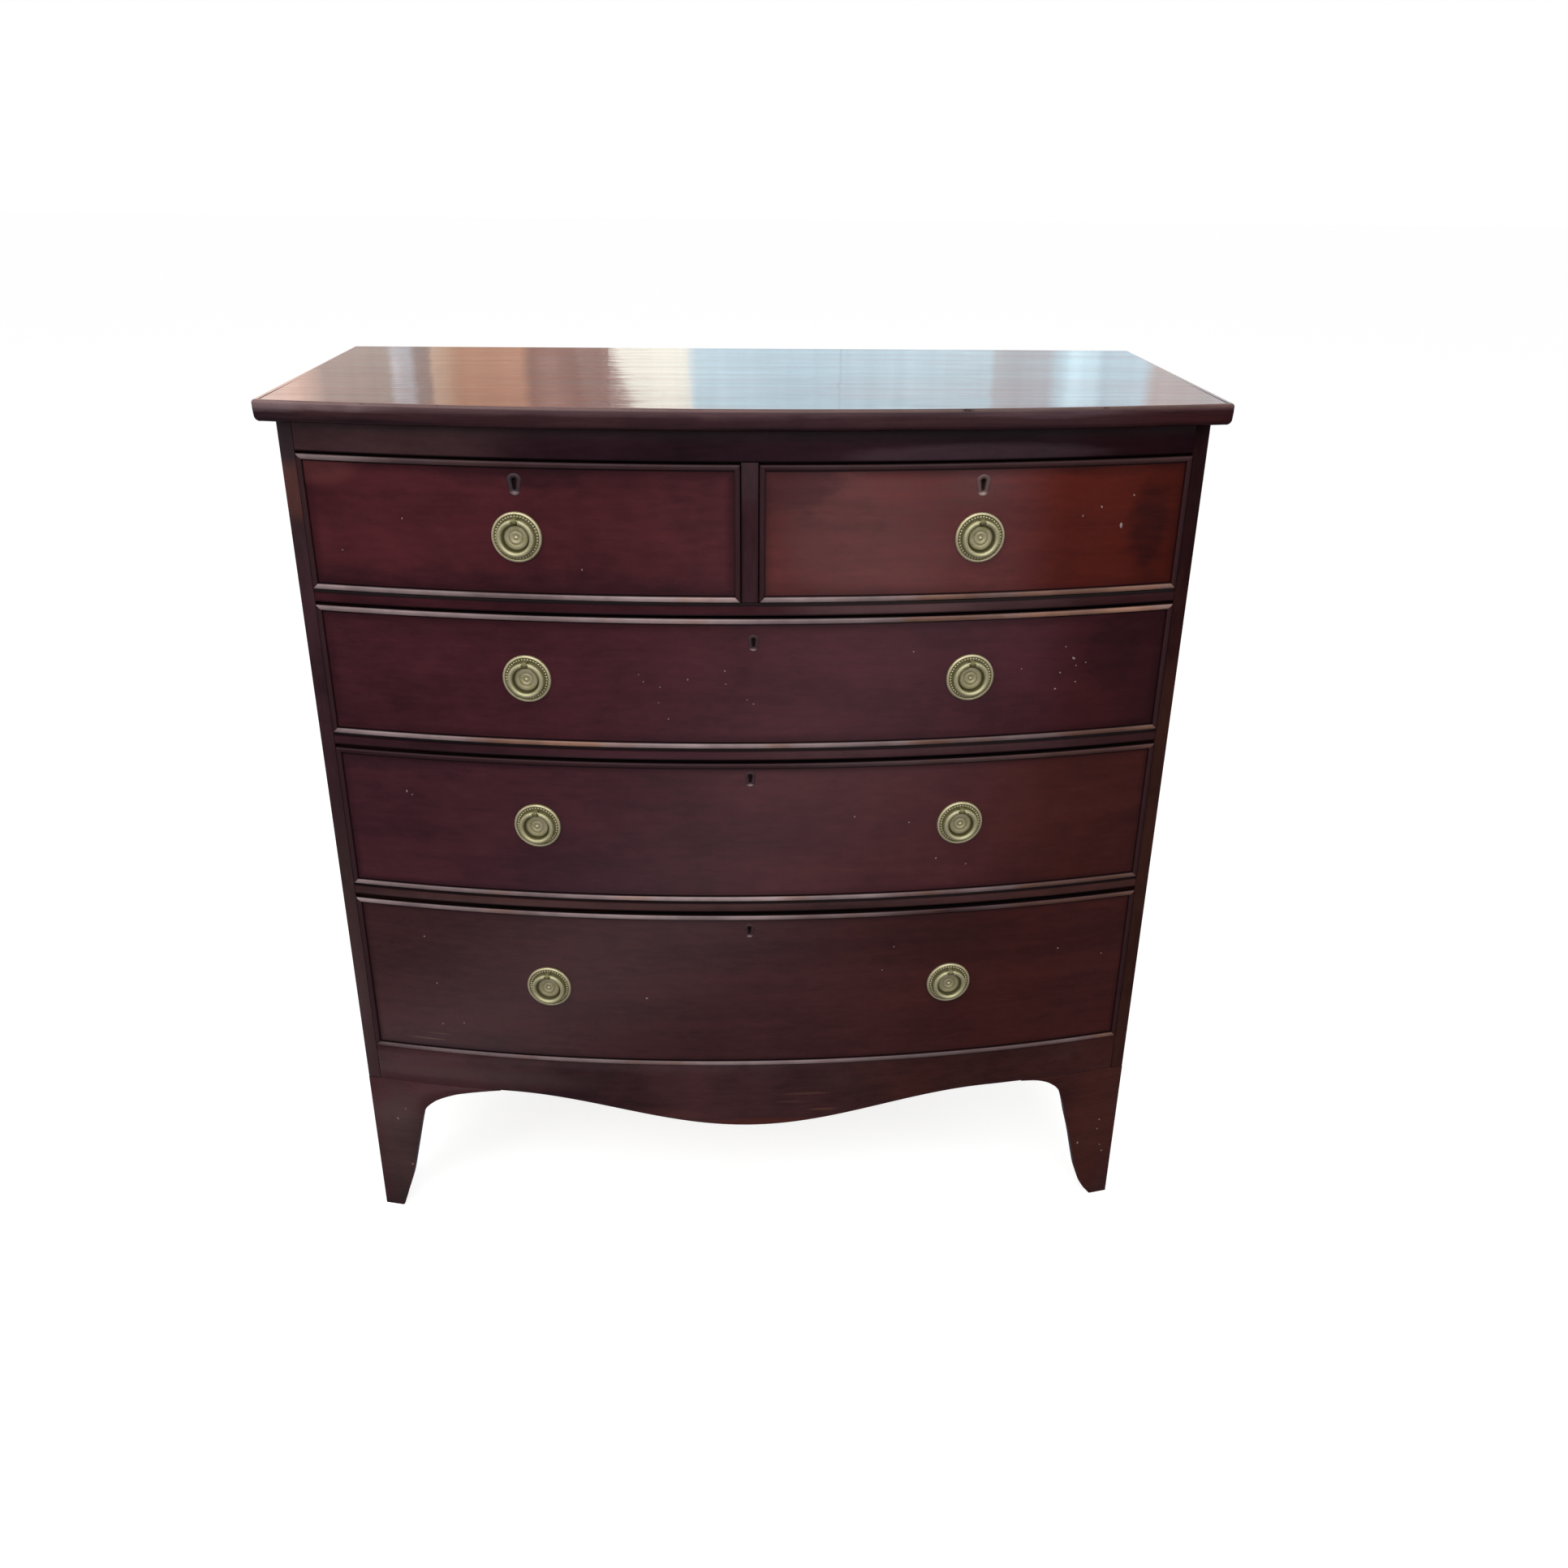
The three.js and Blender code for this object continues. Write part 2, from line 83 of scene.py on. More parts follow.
# Places that follow from them. A bow starts from the line of the front corners.
INNER_HALF = HALF_WIDTH - SIDE_THICKNESS
TOP_HALF = HALF_WIDTH + TOP_SIDE
CORNER_Y = (TOP_BOW + TOP_FRONT - SIDE_DEPTH) / 2
BACK_Y = CORNER_Y + SIDE_DEPTH
RAIL_BACK_Y = CORNER_Y + RAIL_DEPTH
TENON_Y = CORNER_Y + RAIL_SHOULDER + JOINT
TENON_END = INNER_HALF + HOUSING - JOINT
BOW_RADIUS = (HALF_WIDTH**2 + BOW**2) / (2 * BOW)

# Sizes that the scene adds or draws a little finer
BEAD_ROOT = 2.6 * MM
RING_RADIUS = 17.4 * MM
RING_SECTION = 2.6 * MM
LIPPING = 6 * MM
GLUE_GAP = 0.02 * MM
RAIL_ARRIS = 0.7 * MM
CARCASS_ARRIS = 0.9 * MM
DOVETAIL_PITCH = 34 * MM
BACK_PLANKS = 7
STATIONS = 96

# Where each drawer's keyhole is, as x and z, and the scale of its escutcheon
KEYHOLES = {
    "short_left": (-240 * MM, 970.5 * MM, 0.94),
    "short_right": (241.3 * MM, 970.5 * MM, 0.94),
    "upper": (3.9 * MM, 804.5 * MM, 0.76),
    "middle": (0.4 * MM, 645.1 * MM, 0.76),
    "lower": (-0.6 * MM, 449.2 * MM, 0.76),
}
PULLS = ("short_left", "short_right", "upper_left", "upper_right", "middle_left",
         "middle_right", "lower_left", "lower_right")


def arc_rise(x, half, rise):
    """How far an arc of that half chord and rise stands out at x."""
    radius = (half * half + rise * rise) / (2 * rise)
    return math.sqrt(radius * radius - x * x) - (radius - rise)


def front_y(x):
    return CORNER_Y - arc_rise(x, HALF_WIDTH, BOW)


def top_front_y(x):
    return CORNER_Y - TOP_FRONT - arc_rise(x, TOP_HALF, TOP_BOW)


def spread(low, high, steps):
    return [low + (high - low) * k / steps for k in range(steps + 1)]


def around(steps):
    """The turns of evenly spread points round a circle."""
    return spread(0, 2 * math.pi, steps)[:-1]


def operator(operation):
    """A method of Value that adds a Math node to the value's own tree."""
    return lambda one, other: one.graph.math(operation, one, other)


class Value:
    """An output of a node. Sums and products of it add Math nodes to the same tree."""

    __add__ = __radd__ = operator("ADD")
    __sub__ = operator("SUBTRACT")
    __mul__ = __rmul__ = operator("MULTIPLY")
    __truediv__ = operator("DIVIDE")
    __pow__ = operator("POWER")

    def __init__(self, graph, made, out):
        self.graph = graph
        self.made = made
        self.socket = graph.pick(made.outputs, out)

    def __rsub__(self, other):
        return self.graph.math("SUBTRACT", other, self)

    def out(self, name):
        return Value(self.graph, self.made, name)


class Graph:
    """The nodes of one shader or geometry tree."""

    def __init__(self, tree):
        self.tree = tree
        tree.nodes.clear()

    @staticmethod
    def pick(sockets, key):
        if isinstance(key, int):
            return sockets[key]
        return next(s for s in sockets if key in (s.identifier, s.name))

    def node(self, kind, settings=None, inputs=None, out=0):
        """Adds a node: its settings first, then the values or links of its sockets."""
        made = self.tree.nodes.new(kind)
        for name, value in (settings or {}).items():
            setattr(made, name, value)
        for key, value in (inputs or {}).items():
            socket = self.pick(made.inputs, key)
            if isinstance(value, Value):
                self.tree.links.new(value.socket, socket)
            else:
                socket.default_value = value
        return Value(self, made, out) if made.outputs else made

    def math(self, operation, *values):
        return self.node("ShaderNodeMath", {"operation": operation}, dict(enumerate(values)))

    def vector(self, operation, *values):
        return self.node("ShaderNodeVectorMath", {"operation": operation}, dict(enumerate(values)))

    def combined(self, x, y, z):
        return self.node("ShaderNodeCombineXYZ", inputs={"X": x, "Y": y, "Z": z})

    def apart(self, vector):
        return self.node("ShaderNodeSeparateXYZ", inputs={"Vector": vector})

    def smooth(self, value, low, high):
        """0 below low and 1 above high, with a soft change between them."""
        return self.node("ShaderNodeMapRange", {"interpolation_type": "SMOOTHSTEP"},
                         {"Value": value, "From Min": low, "From Max": high})

    def noise(self, place, scale, detail, roughness, out="Fac"):
        return self.node("ShaderNodeTexNoise", inputs={
            "Vector": place, "Scale": scale, "Detail": detail, "Roughness": roughness}, out=out)

    def stretched(self, place, run, along, across):
        """Coordinates that are stretched along the run of the grain."""
        scale = tuple(along if axis == run else across for axis in "xyz")
        return self.vector("MULTIPLY", place, scale)

    def grain(self, place, run, along, across, detail, roughness):
        return self.noise(self.stretched(place, run, along, across), 1.0, detail, roughness)

    def bent(self, place, scale, amount):
        """Coordinates that wander a little, so that the grain does."""
        wander = self.noise(place, scale, 2.0, 0.5, out="Color")
        wander = self.vector("SUBTRACT", wander, (0.5, 0.5, 0.5))
        return self.vector("ADD", place, self.vector("MULTIPLY", wander, (amount,) * 3))

    def oval(self, parts, x, z, wide, tall):
        """How far from (x, z) a place is, squared, with 1 at the edge of an oval."""
        across = (parts - x) / wide
        along = (parts.out("Z") - z) / tall
        return across * across + along * along

    def falling(self, distance):
        return self.math("EXPONENT", 0.0 - distance)

    def mix(self, share, one, two, blend="MIX"):
        return self.node("ShaderNodeMix", {"data_type": "RGBA", "blend_type": blend},
                         {"Factor_Float": share, "A_Color": one, "B_Color": two}, "Result_Color")

    def shaded(self, colour, shade):
        return self.mix(1.0, colour, self.combined(shade, shade, shade), "MULTIPLY")

    def bump(self, height, distance, strength, normal=None):
        inputs = {"Height": height, "Distance": distance, "Strength": strength}
        if normal is not None:
            inputs["Normal"] = normal
        return self.node("ShaderNodeBump", inputs=inputs)

    def mark(self, name, out="Fac"):
        """A number or colour that the mesh carries at its points."""
        return self.node("ShaderNodeAttribute", {"attribute_name": name}, out=out)

    def emission(self, colour):
        return self.node("ShaderNodeEmission", inputs={"Color": colour})

    def matt(self, colour):
        return self.node("ShaderNodeBsdfDiffuse", inputs={"Color": colour})

    def output(self, surface, kind="Material"):
        self.node(f"ShaderNodeOutput{kind}", inputs={"Surface": surface})

    def surface(self, **sockets):
        """The finished surface, with sockets named as Blender names them."""
        inputs = {name.replace("_", " "): value for name, value in sockets.items()}
        self.output(self.node("ShaderNodeBsdfPrincipled", inputs=inputs))

    def moved(self, geometry, key, value):
        """Geometry with its points set to a Position or moved by an Offset."""
        return self.node(
            "GeometryNodeSetPosition", inputs={"Geometry": geometry, key: value})

    def copies(self, points, instance, **more):
        return self.node("GeometryNodeInstanceOnPoints", inputs={
            "Points": points, "Instance": instance, **more})

    def chance(self, low, high, seed):
        """A random vector for each point."""
        return self.node("FunctionNodeRandomValue", {"data_type": "FLOAT_VECTOR"}, {
            "Min": low, "Max": high, "Seed": seed})


def linear(red, green, blue):
    """A colour as it shows on a screen, from 0 to 255, in linear light."""
    shares = [value / 255 for value in (red, green, blue)]
    return tuple(s / 12.92 if s <= 0.04045 else ((s + 0.055) / 1.055) ** 2.4 for s in shares)


def tone(red, green, blue):
    return (*linear(red, green, blue), 1.0)


def shifted(colour, factor, warmth=0.0):
    """A linear colour made lighter or darker, and a little redder or browner."""
    red, green, blue = colour
    return (red * factor * (1 + warmth), green * factor, blue * factor * (1 - warmth), 1.0)


def new_material(name, flat=None):
    """A material, its nodes, and the place on the object, flattened where that is asked."""
    material = bpy.data.materials.new(name)
    material.use_nodes = True
    graph = Graph(material.node_tree)
    place = graph.node("ShaderNodeTexCoord", out="Object")
    if flat:
        place = graph.vector("MULTIPLY", place, flat)
    return material, graph, place


# Materials. Tones are as they show on a screen.

FRONT_FLAT = (1.0, 0.0, 1.0)
# Near black, for dirt and painted shade along the edges and in the gaps round the drawers and
# rails
DIRT_AND_SHADE_TONE = tone(13, 6, 7)
DUST = tone(112, 92, 88)
WORN = tone(140, 112, 104)
# Heights on the top's edge where painted shade below gives way to a painted highlight above
RIM_LOW = (1029 * MM, 1040 * MM)
RIM_HIGH = (1040 * MM, 1047 * MM)
RIM_SHARE = 0.62


def painted_rim_shading(graph, level, rim):
    """The tone up the top's edge, from the low one through the middle to the high one: painted
    shade on its lower part and a painted highlight at the top.
    """
    low, middle, high = [tone(*colour) for colour in rim]
    upper = graph.mix(graph.smooth(level, *RIM_HIGH), middle, high)
    return graph.mix(graph.smooth(level, *RIM_LOW), low, upper)


def panel_dirt_and_shade(graph, parts, cloud, left, right, low, high, dirt_and_shade_reach):
    """Dirt and painted shade inside the edges of a panel: a dark line of dirt and painted shadow
    at the edge, and a cloudy band of dirt and painted shade beside it.
    """
    sides = graph.math("MINIMUM", parts - left, right - parts)
    ends = graph.math("MINIMUM", parts.out("Z") - low, high - parts.out("Z"))
    near = graph.math("MINIMUM", sides, ends)
    slim = graph.math("MINIMUM", sides + 1.2 * MM, ends)
    # The line is dirt and painted shadow in the gap beside the bead; the band is dirt and painted
    # shade
    line = (1.0 - graph.smooth(slim, 0.8 * MM, 2.5 * MM)) * 0.88
    band = (1.0 - graph.smooth(near, 0.0, dirt_and_shade_reach)) * (0.12 + 0.4 * cloud)
    return graph.math("MAXIMUM", line, band)


def mahogany(name, mean, run="x", flat=(1.0, 1.0, 1.0), drift=0.0, gloss=0.22, coat=0.5,
             shine=0.12, grain=0.14, clouds=0.36, dust=0.0, ripple=0.3, swell=(8.0, 27.0),
             relief=0.0, streaks=0.1, casts=(), smudges=(), panel=(), rim=()):
    """Polished mahogany: straight fine grain, pores, cloudy colour and a worn polish."""
    material, graph, place = new_material(name, flat)
    parts = graph.apart(place)
    place = graph.vector("ADD", place, (drift, drift * 0.7, drift * 1.3))
    bent = graph.bent(place, 2.1, 0.03)
    bands = graph.smooth(graph.grain(bent, run, 2.6, 60.0, 4.0, 0.6), 0.3, 0.7)
    figure = graph.smooth(graph.grain(bent, run, 3.4, 17.0, 2.0, 0.5), 0.32, 0.68)
    fibres = graph.grain(bent, run, 26.0, 700.0, 2.0, 0.5)
    pores = graph.smooth(graph.grain(place, run, 120.0, 2300.0, 1.0, 0.4), 0.6, 0.72)
    cloud = graph.smooth(graph.noise(place, 5.2, 4.0, 0.6), 0.3, 0.7)
    fleck = graph.grain(place, run, 40.0, 130.0, 3.0, 0.6)
    share = (0.5 + (bands - 0.5) * grain + (cloud - 0.5) * clouds + (figure - 0.5) * 0.16
             + (fibres - 0.5) * 0.2 + (fleck - 0.5) * 0.5)
    mean = linear(*mean)
    dark = shifted(mean, 0.5)
    light = shifted(mean, 1.6, 0.06)
    # A rim paints shade low on an edge and a highlight high on it
    if rim:
        level = parts.out("Z") + (cloud - 0.5) * 3 * MM + (bands - 0.5) * 5 * MM
        upper = painted_rim_shading(graph, level, rim)
        dark = graph.mix(RIM_SHARE, dark, upper)
        light = graph.mix(RIM_SHARE, light, upper)
    tints = []
    polish = coat
    for low, high, tint, dull in casts:
        reach = graph.smooth(parts, low, high)
        tints.append((reach * (0.65 + 0.35 * cloud), tint))
        polish = (1.0 - reach * dull) * polish
    # Smudges are marks on the wood, and some are painted highlights, reflections and shade
    for x, z, wide, tall, depth, tint in smudges:
        near = graph.oval(parts, x, z, wide, tall)
        near = near + (cloud - 0.5) * 1.2 + (fleck - 0.5) * 1.2
        tints.append(((1.0 - graph.smooth(near, 0.1, 1.5)) * depth, tint))
    for reach, tint in tints:
        dark = graph.mix(reach, dark, shifted(linear(*tint), 0.6))
        light = graph.mix(reach, light, shifted(linear(*tint), 1.4, 0.04))
    wood = graph.mix(graph.smooth(share, -0.1, 1.1), dark, light)
    wood = graph.shaded(wood, 1.0 - pores * 0.2 - (fibres - 0.5) * 0.18)
    smear = graph.smooth(graph.noise(place, 9.0, 5.0, 0.65), 0.48, 0.74)
    wood = graph.mix(smear * dust, wood, DUST)
    # Dirt and painted shade: along a panel's edges, or where the mesh marks grime
    dirt = panel_dirt_and_shade(graph, parts, cloud, *panel) if panel else graph.mark("grime")
    wood = graph.mix(dirt, wood, DIRT_AND_SHADE_TONE)
    rubbed = graph.mark("wear") * (0.25 + 0.7 * graph.noise(place, 38.0, 4.0, 0.65))
    wood = graph.mix(rubbed, wood, WORN)
    waves = graph.grain(place, run, *swell, 2.0, 0.5) + bands * relief
    level = graph.bump(waves, ripple * MM, 1.0)
    graph.surface(
        Base_Color=wood,
        Roughness=gloss * (0.85 + fibres * 0.4) + smear * dust + rubbed * 0.1,
        Coat_Weight=(1.0 - bands * streaks - smear * dust) * (1.0 - dirt) * polish,
        Coat_Roughness=0.05,
        Specular_IOR_Level=shine,
        Normal=graph.bump(1.0 - pores - fibres * 0.35, 0.08 * MM, 0.2, level))
    return material


def cockbead_wood(name):
    """Cockbead: rubbed pale along its nose, here grey and there brown, as wear and a painted
    highlight, and black beside it, as dirt and painted shade.
    """
    material, graph, place = new_material(name, FRONT_FLAT)
    mark = graph.mark("wear")
    # Pale on the nose: wear and a painted highlight
    worn = graph.math("MAXIMUM", mark, 0.0)
    # Black where the bead meets the front: dirt and painted shade
    dirt = graph.math("MAXIMUM", 0.0 - mark, 0.0)
    long = graph.smooth(graph.noise(place, 9.0, 4.0, 0.6), 0.32, 0.68)
    streak = graph.grain(place, "x", 60.0, 900.0, 3.0, 0.6)
    parts = graph.apart(place)
    patch = graph.falling(graph.oval(parts, -0.235, 0.686, 0.035, 0.01))
    warm = graph.smooth(parts, 0.05, 0.4) * 0.12
    brown = graph.smooth(graph.noise(place, 6.3, 3.0, 0.6) + patch * 0.5 + warm, 0.48, 0.66)
    # The grey pale tone is a painted highlight on the nose; the brown one is bare worn wood
    pale = graph.mix(brown, tone(164, 143, 143), tone(160, 119, 99))
    rub_and_highlight = worn * (0.5 + 0.5 * long) * (0.8 + 0.4 * streak)
    wood = graph.mix(rub_and_highlight, tone(41, 20, 24), pale)
    graph.surface(
        Base_Color=graph.mix(dirt, wood, tone(9, 4, 5)),
        Roughness=0.42 - rub_and_highlight * 0.12,
        Coat_Weight=rub_and_highlight * 0.5 * (1.0 - dirt),
        Coat_Roughness=0.16,
        Specular_IOR_Level=0.12,
        Normal=graph.bump(streak * 0.5 + long * 0.5, 0.15 * MM, 0.5))
    return material


def paint(name, colour, thin):
    """A matt coat, such as a dried speck of paint, that is uneven in its tone."""
    material, graph, place = new_material(name)
    patchy = graph.noise(place, 700.0, 3.0, 0.6)
    graph.surface(
        Base_Color=graph.mix(patchy, thin, colour),
        Roughness=0.7,
        Specular_IOR_Level=0.2,
        Normal=graph.bump(patchy, 0.1 * MM, 0.5))
    return material


def pine(name, run, pale, brown, grime=0.3, plank=10.0):
    """Old unpolished pine: growth rings, a few knots, and grime that has settled in."""
    material, graph, place = new_material(name)
    number = graph.math("FLOOR", graph.apart(place) / plank + 0.5)
    place = graph.vector("ADD", place, graph.combined(number * 0.37, 0.0, number * 1.71))
    bent = graph.bent(place, 3.2, 0.05)
    knots = graph.node("ShaderNodeTexVoronoi", inputs={
        "Vector": graph.stretched(bent, run, 3.1, 6.5), "Scale": 1.0}, out="Distance")
    knot = 1.0 - graph.smooth(knots, 0.06, 0.16)
    rings = graph.grain(bent, run, 1.6, 55.0, 3.0, 0.5)
    rings = graph.smooth(graph.math("PINGPONG", rings * 5.0 + knot * 1.5, 1.0), 0.15, 0.95)
    fibres = graph.grain(bent, run, 25.0, 900.0, 2.0, 0.5)
    dirt = graph.smooth(graph.noise(place, 7.0, 5.0, 0.65), 0.42, 0.72)
    wood = graph.mix(rings * 0.7 + fibres * 0.3, pale, brown)
    wood = graph.mix(knot * 0.75, wood, tone(72, 40, 22))
    graph.surface(
        Base_Color=graph.mix(dirt * grime, wood, tone(70, 55, 42)),
        Roughness=0.62 + fibres * 0.15 + dirt * 0.1,
        Specular_IOR_Level=0.3,
        Normal=graph.bump(fibres + rings * 0.6, 0.15 * MM, 0.4))
    return material


def old_brass(name, bright, dull, age=0.35, gloss=0.26, deep=(58, 52, 28)):
    """Cast and turned brass, dulled in its hollows and where painted shade is marked, and rubbed
    pale on its high parts.
    """
    material, graph, place = new_material(name)
    blotch = graph.smooth(graph.noise(place, 90.0, 4.0, 0.6), 0.35, 0.7)
    grit = graph.noise(place, 900.0, 3.0, 0.6)
    hollow_and_shade = graph.mark("hollow_and_shade")
    dark = graph.smooth(hollow_and_shade * 0.9 + blotch * 0.5 + age, 0.3, 1.25)
    metal = graph.mix(dark, tone(*bright), tone(*dull))
    graph.surface(
        Base_Color=graph.mix(hollow_and_shade * 0.7, metal, tone(*deep)),
        Metallic=0.75 - dark * 0.35,
        Roughness=gloss + dark * 0.15 + grit * 0.1,
        Normal=graph.bump(grit * 0.4 + blotch * 0.6, 0.06 * MM, 0.35))
    return material


def iron(name):
    """Dark old iron for nails and screws, browned in patches."""
    material, graph, place = new_material(name)
    rust = graph.smooth(graph.noise(place, 320.0, 4.0, 0.65), 0.4, 0.65)
    graph.surface(
        Base_Color=graph.mix(rust, tone(70, 66, 62), tone(84, 48, 30)),
        Metallic=0.9 - rust * 0.6,
        Roughness=0.45 + rust * 0.3,
        Normal=graph.bump(rust, 0.1 * MM, 0.5))
    return material


def sides_of(node, inset=0.0):
    """Left, right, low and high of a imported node, drawn in a little."""
    low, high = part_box(node)
    return low.x + inset, high.x - inset, low.z + inset, high.z - inset


def between(node, lowered):
    """The low and high edges of a node without its ends, and how far the dirt and painted shade
    spread there.
    """
    low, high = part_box(node)
    return -1.0, 1.0, low.z, high.z - lowered, 3 * MM


def front_wood(label, mean, drift, dirt_and_shade_reach=14, **more):
    return mahogany(f"front_{label}", mean, flat=FRONT_FLAT, drift=drift,
                    panel=(*sides_of(f"drawer_{label}_front", BEAD), dirt_and_shade_reach * MM), **more)


def rail_wood(node, mean, drift, *casts):
    return mahogany(f"{node}_wood", mean, flat=FRONT_FLAT, drift=drift, coat=0.1,
                    panel=between(node, 2.2 * MM), casts=casts)


# Casts are (x where it starts, x where it is full, tone, loss of polish), and smudges, some of
# them marks on the wood and some painted light and shade, are (x, z, half width, half height,
# depth, tone).
fronts = {
    "short_left": front_wood(
        "short_left", (61, 25, 29), 0.31, gloss=0.2,
        smudges=((-0.3, 0.86, 0.3, 0.022, 0.5, (40, 18, 24)),
                 (-0.04, 0.95, 0.05, 0.05, 0.5, (34, 14, 17)),
                 (-0.25, 0.985, 0.08, 0.02, 0.5, (34, 16, 20)),
                 (-0.44, 0.985, 0.04, 0.02, 0.6, (90, 46, 46)))),
    "short_right": front_wood(
        "short_right", (76, 34, 33), 2.7, gloss=0.24, clouds=0.2,
        casts=((0.26, 0.34, (72, 22, 12), 0.9), (0.38, 0.45, (60, 18, 11), 0.9)),
        # The two pale greyish patches on its left half are a painted reflection
        smudges=((0.14, 0.93, 0.09, 0.08, 0.5, (92, 56, 56)),
                 (0.03, 0.99, 0.06, 0.04, 0.5, (44, 20, 23)),
                 (0.23, 0.972, 0.05, 0.035, 0.45, (76, 50, 50)),
                 (0.43, 0.925, 0.026, 0.05, 0.75, (34, 13, 14)),
                 (0.36, 0.985, 0.05, 0.012, 0.3, (34, 12, 12)))),
    "upper": front_wood(
        "upper", (57, 25, 31), 5.9, gloss=0.2,
        casts=((0.3, 0.38, (53, 21, 23), 0.7), (0.39, 0.45, (42, 18, 21), 0.8)),
        smudges=((0.405, 0.775, 0.03, 0.045, 0.4, (30, 14, 16)),)),
    "middle": front_wood(
        "middle", (53, 25, 31), 8.3, 10, gloss=0.22,
        casts=((-0.2, 0.04, (66, 33, 35), 0.0), (0.2, 0.4, (60, 26, 21), 0.6)),
        smudges=((-0.4, 0.655, 0.16, 0.014, 0.4, (38, 20, 26)),)),
    "lower": front_wood(
        "lower", (54, 29, 30), 11.9, 8, gloss=0.24, clouds=0.2,
        casts=((0.02, 0.34, (59, 25, 21), 0.55),),
        smudges=((-0.36, 0.27, 0.16, 0.03, 0.6, (44, 27, 29)),
                 (-0.4, 0.276, 0.03, 0.0016, 0.5, (104, 76, 66)),
                 (-0.385, 0.285, 0.018, 0.0012, 0.4, (98, 70, 62)),
                 (0.13, 0.262, 0.02, 0.004, 0.35, (80, 48, 44)))),
}
top_wood = mahogany(
    "top_board", (84, 40, 30), drift=1.7, gloss=0.03, coat=0.36, shine=0.45, ripple=0.5,
    swell=(16.0, 16.0), relief=0.16, grain=0.8, streaks=0.9)
# The top's edge: its rim tones are painted shade below and a painted highlight above; the pale
# smudges high on it are painted highlights, and the dark ones lower down are painted shade
edge_wood = mahogany(
    "top_edge", (56, 33, 35), flat=FRONT_FLAT, drift=2.2, grain=1.0, coat=0.05, shine=0.1,
    rim=((33, 19, 24), (47, 30, 34), (84, 66, 70)), casts=((0.32, 0.44, (42, 18, 19), 0.5),),
    smudges=((-0.48, 1.0455, 0.13, 0.0068, 0.62, (108, 92, 96)),
             (-0.46, 1.0335, 0.11, 0.005, 0.6, (36, 26, 31)),
             (0.0, 1.037, 0.16, 0.009, 0.55, (32, 19, 25)),
             (0.3, 1.046, 0.08, 0.006, 0.35, (96, 74, 80)),
             (0.48, 1.048, 0.12, 0.004, 0.5, (98, 70, 70)),
             (0.4, 1.0483, 0.42, 0.001, 0.85, (24, 12, 16))))
# The frieze is darkened as painted shadow under the top's overhang, darkest in a band right under
# the top, and lighter at its left end as painted light
frieze_wood = mahogany(
    "frieze", (34, 19, 25), flat=FRONT_FLAT, drift=3.3, coat=0.03, shine=0.06,
    panel=between("top_rail", -0.1),
    casts=((-0.2, -0.32, (60, 41, 44), 0.0), (0.32, 0.37, (33, 13, 18), 0.9)),
    smudges=((0.22, 1.002, 0.14, 0.01, 0.85, (58, 43, 49)),
             (0.1, 1.022, 0.2, 0.007, 0.6, (22, 14, 19))))
rail_woods = {
    "rail_upper": rail_wood("rail_upper", (52, 23, 29), 4.3, (0.0, 0.1, (72, 51, 53), 0.0),
                            (0.31, 0.37, (40, 15, 17), 0.9)),
    "rail_middle": rail_wood("rail_middle", (51, 28, 34), 5.3, (-0.06, 0.1, (68, 45, 48), 0.0),
                             (0.32, 0.42, (46, 23, 24), 0.6)),
    "rail_lower": rail_wood("rail_lower", (60, 39, 39), 6.3, (0.2, 0.4, (62, 37, 33), 0.5)),
}
muntin_wood = mahogany("muntin_wood", (50, 27, 33), run="z", drift=4.1, coat=0.1,
                       panel=(*sides_of("muntin")[:2], -1.0, 2.0, 5 * MM))
stile_left = mahogany(
    "stile_left", (46, 29, 34), run="z", drift=4.6, clouds=0.5, coat=0.03, shine=0.08,
    smudges=((0.0, 1.0, 10.0, 0.018, 0.6, (38, 28, 33)),
             (0.0, 0.956, 10.0, 0.027, 0.85, (72, 41, 38)),
             (0.0, 0.25, 10.0, 0.34, 0.85, (62, 45, 45))))
stile_right = mahogany(
    "stile_right", (29, 12, 15), run="z", drift=5.1, clouds=0.5, coat=0.0, shine=0.02,
    smudges=((0.0, 0.3, 10.0, 0.56, 0.95, (58, 34, 29)),))
side_wood = mahogany("carcass_side", (60, 30, 29), run="z", drift=6.1, gloss=0.26, clouds=0.5,
                     dust=0.04, coat=0.35)
bead_wood = cockbead_wood("cockbead")
foot_wood = mahogany(
    "feet_and_apron", (55, 32, 34), flat=(1.0, 0.3, 1.0), drift=7.7, gloss=0.26, clouds=0.6,
    dust=0.05, coat=0.3, casts=((0.0, 0.26, (57, 28, 23), 0.6),),
    smudges=((-0.45, 0.1, 0.05, 0.1, 0.7, (63, 50, 47)),
             (-0.35, 0.225, 0.14, 0.014, 0.5, (64, 47, 47)),
             (0.02, 0.168, 0.11, 0.009, 0.6, (84, 40, 30)),
             (-0.1, 0.181, 0.06, 0.01, 0.4, (84, 46, 42)),
             (0.07, 0.212, 0.03, 0.0016, 0.4, (96, 66, 56)),
             (0.05, 0.2, 0.02, 0.0016, 0.3, (96, 66, 56)),
             (0.09, 0.187, 0.02, 0.0018, 0.5, (104, 66, 52))))
core_wood = mahogany(
    "drawer_front_core", (96, 54, 36), drift=9.1, gloss=0.5, coat=0.0, dust=0.2)
back_left, back_right = sides_of("back_panel")[:2]
pine_x = pine("pine_across", "x", tone(172, 134, 88), tone(132, 90, 50))
pine_y = pine("pine_deep", "y", tone(178, 140, 94), tone(138, 96, 54))
pine_z = pine("pine_upright", "z", tone(150, 114, 74), tone(108, 74, 42), 0.5,
              (back_right - back_left) / BACK_PLANKS)
plate_brass = old_brass("plate_brass", (190, 181, 148), (141, 137, 87), 0.15, 0.46)
ring_brass = old_brass("ring_brass", (174, 169, 134), (138, 132, 92), 0.15, 0.52)
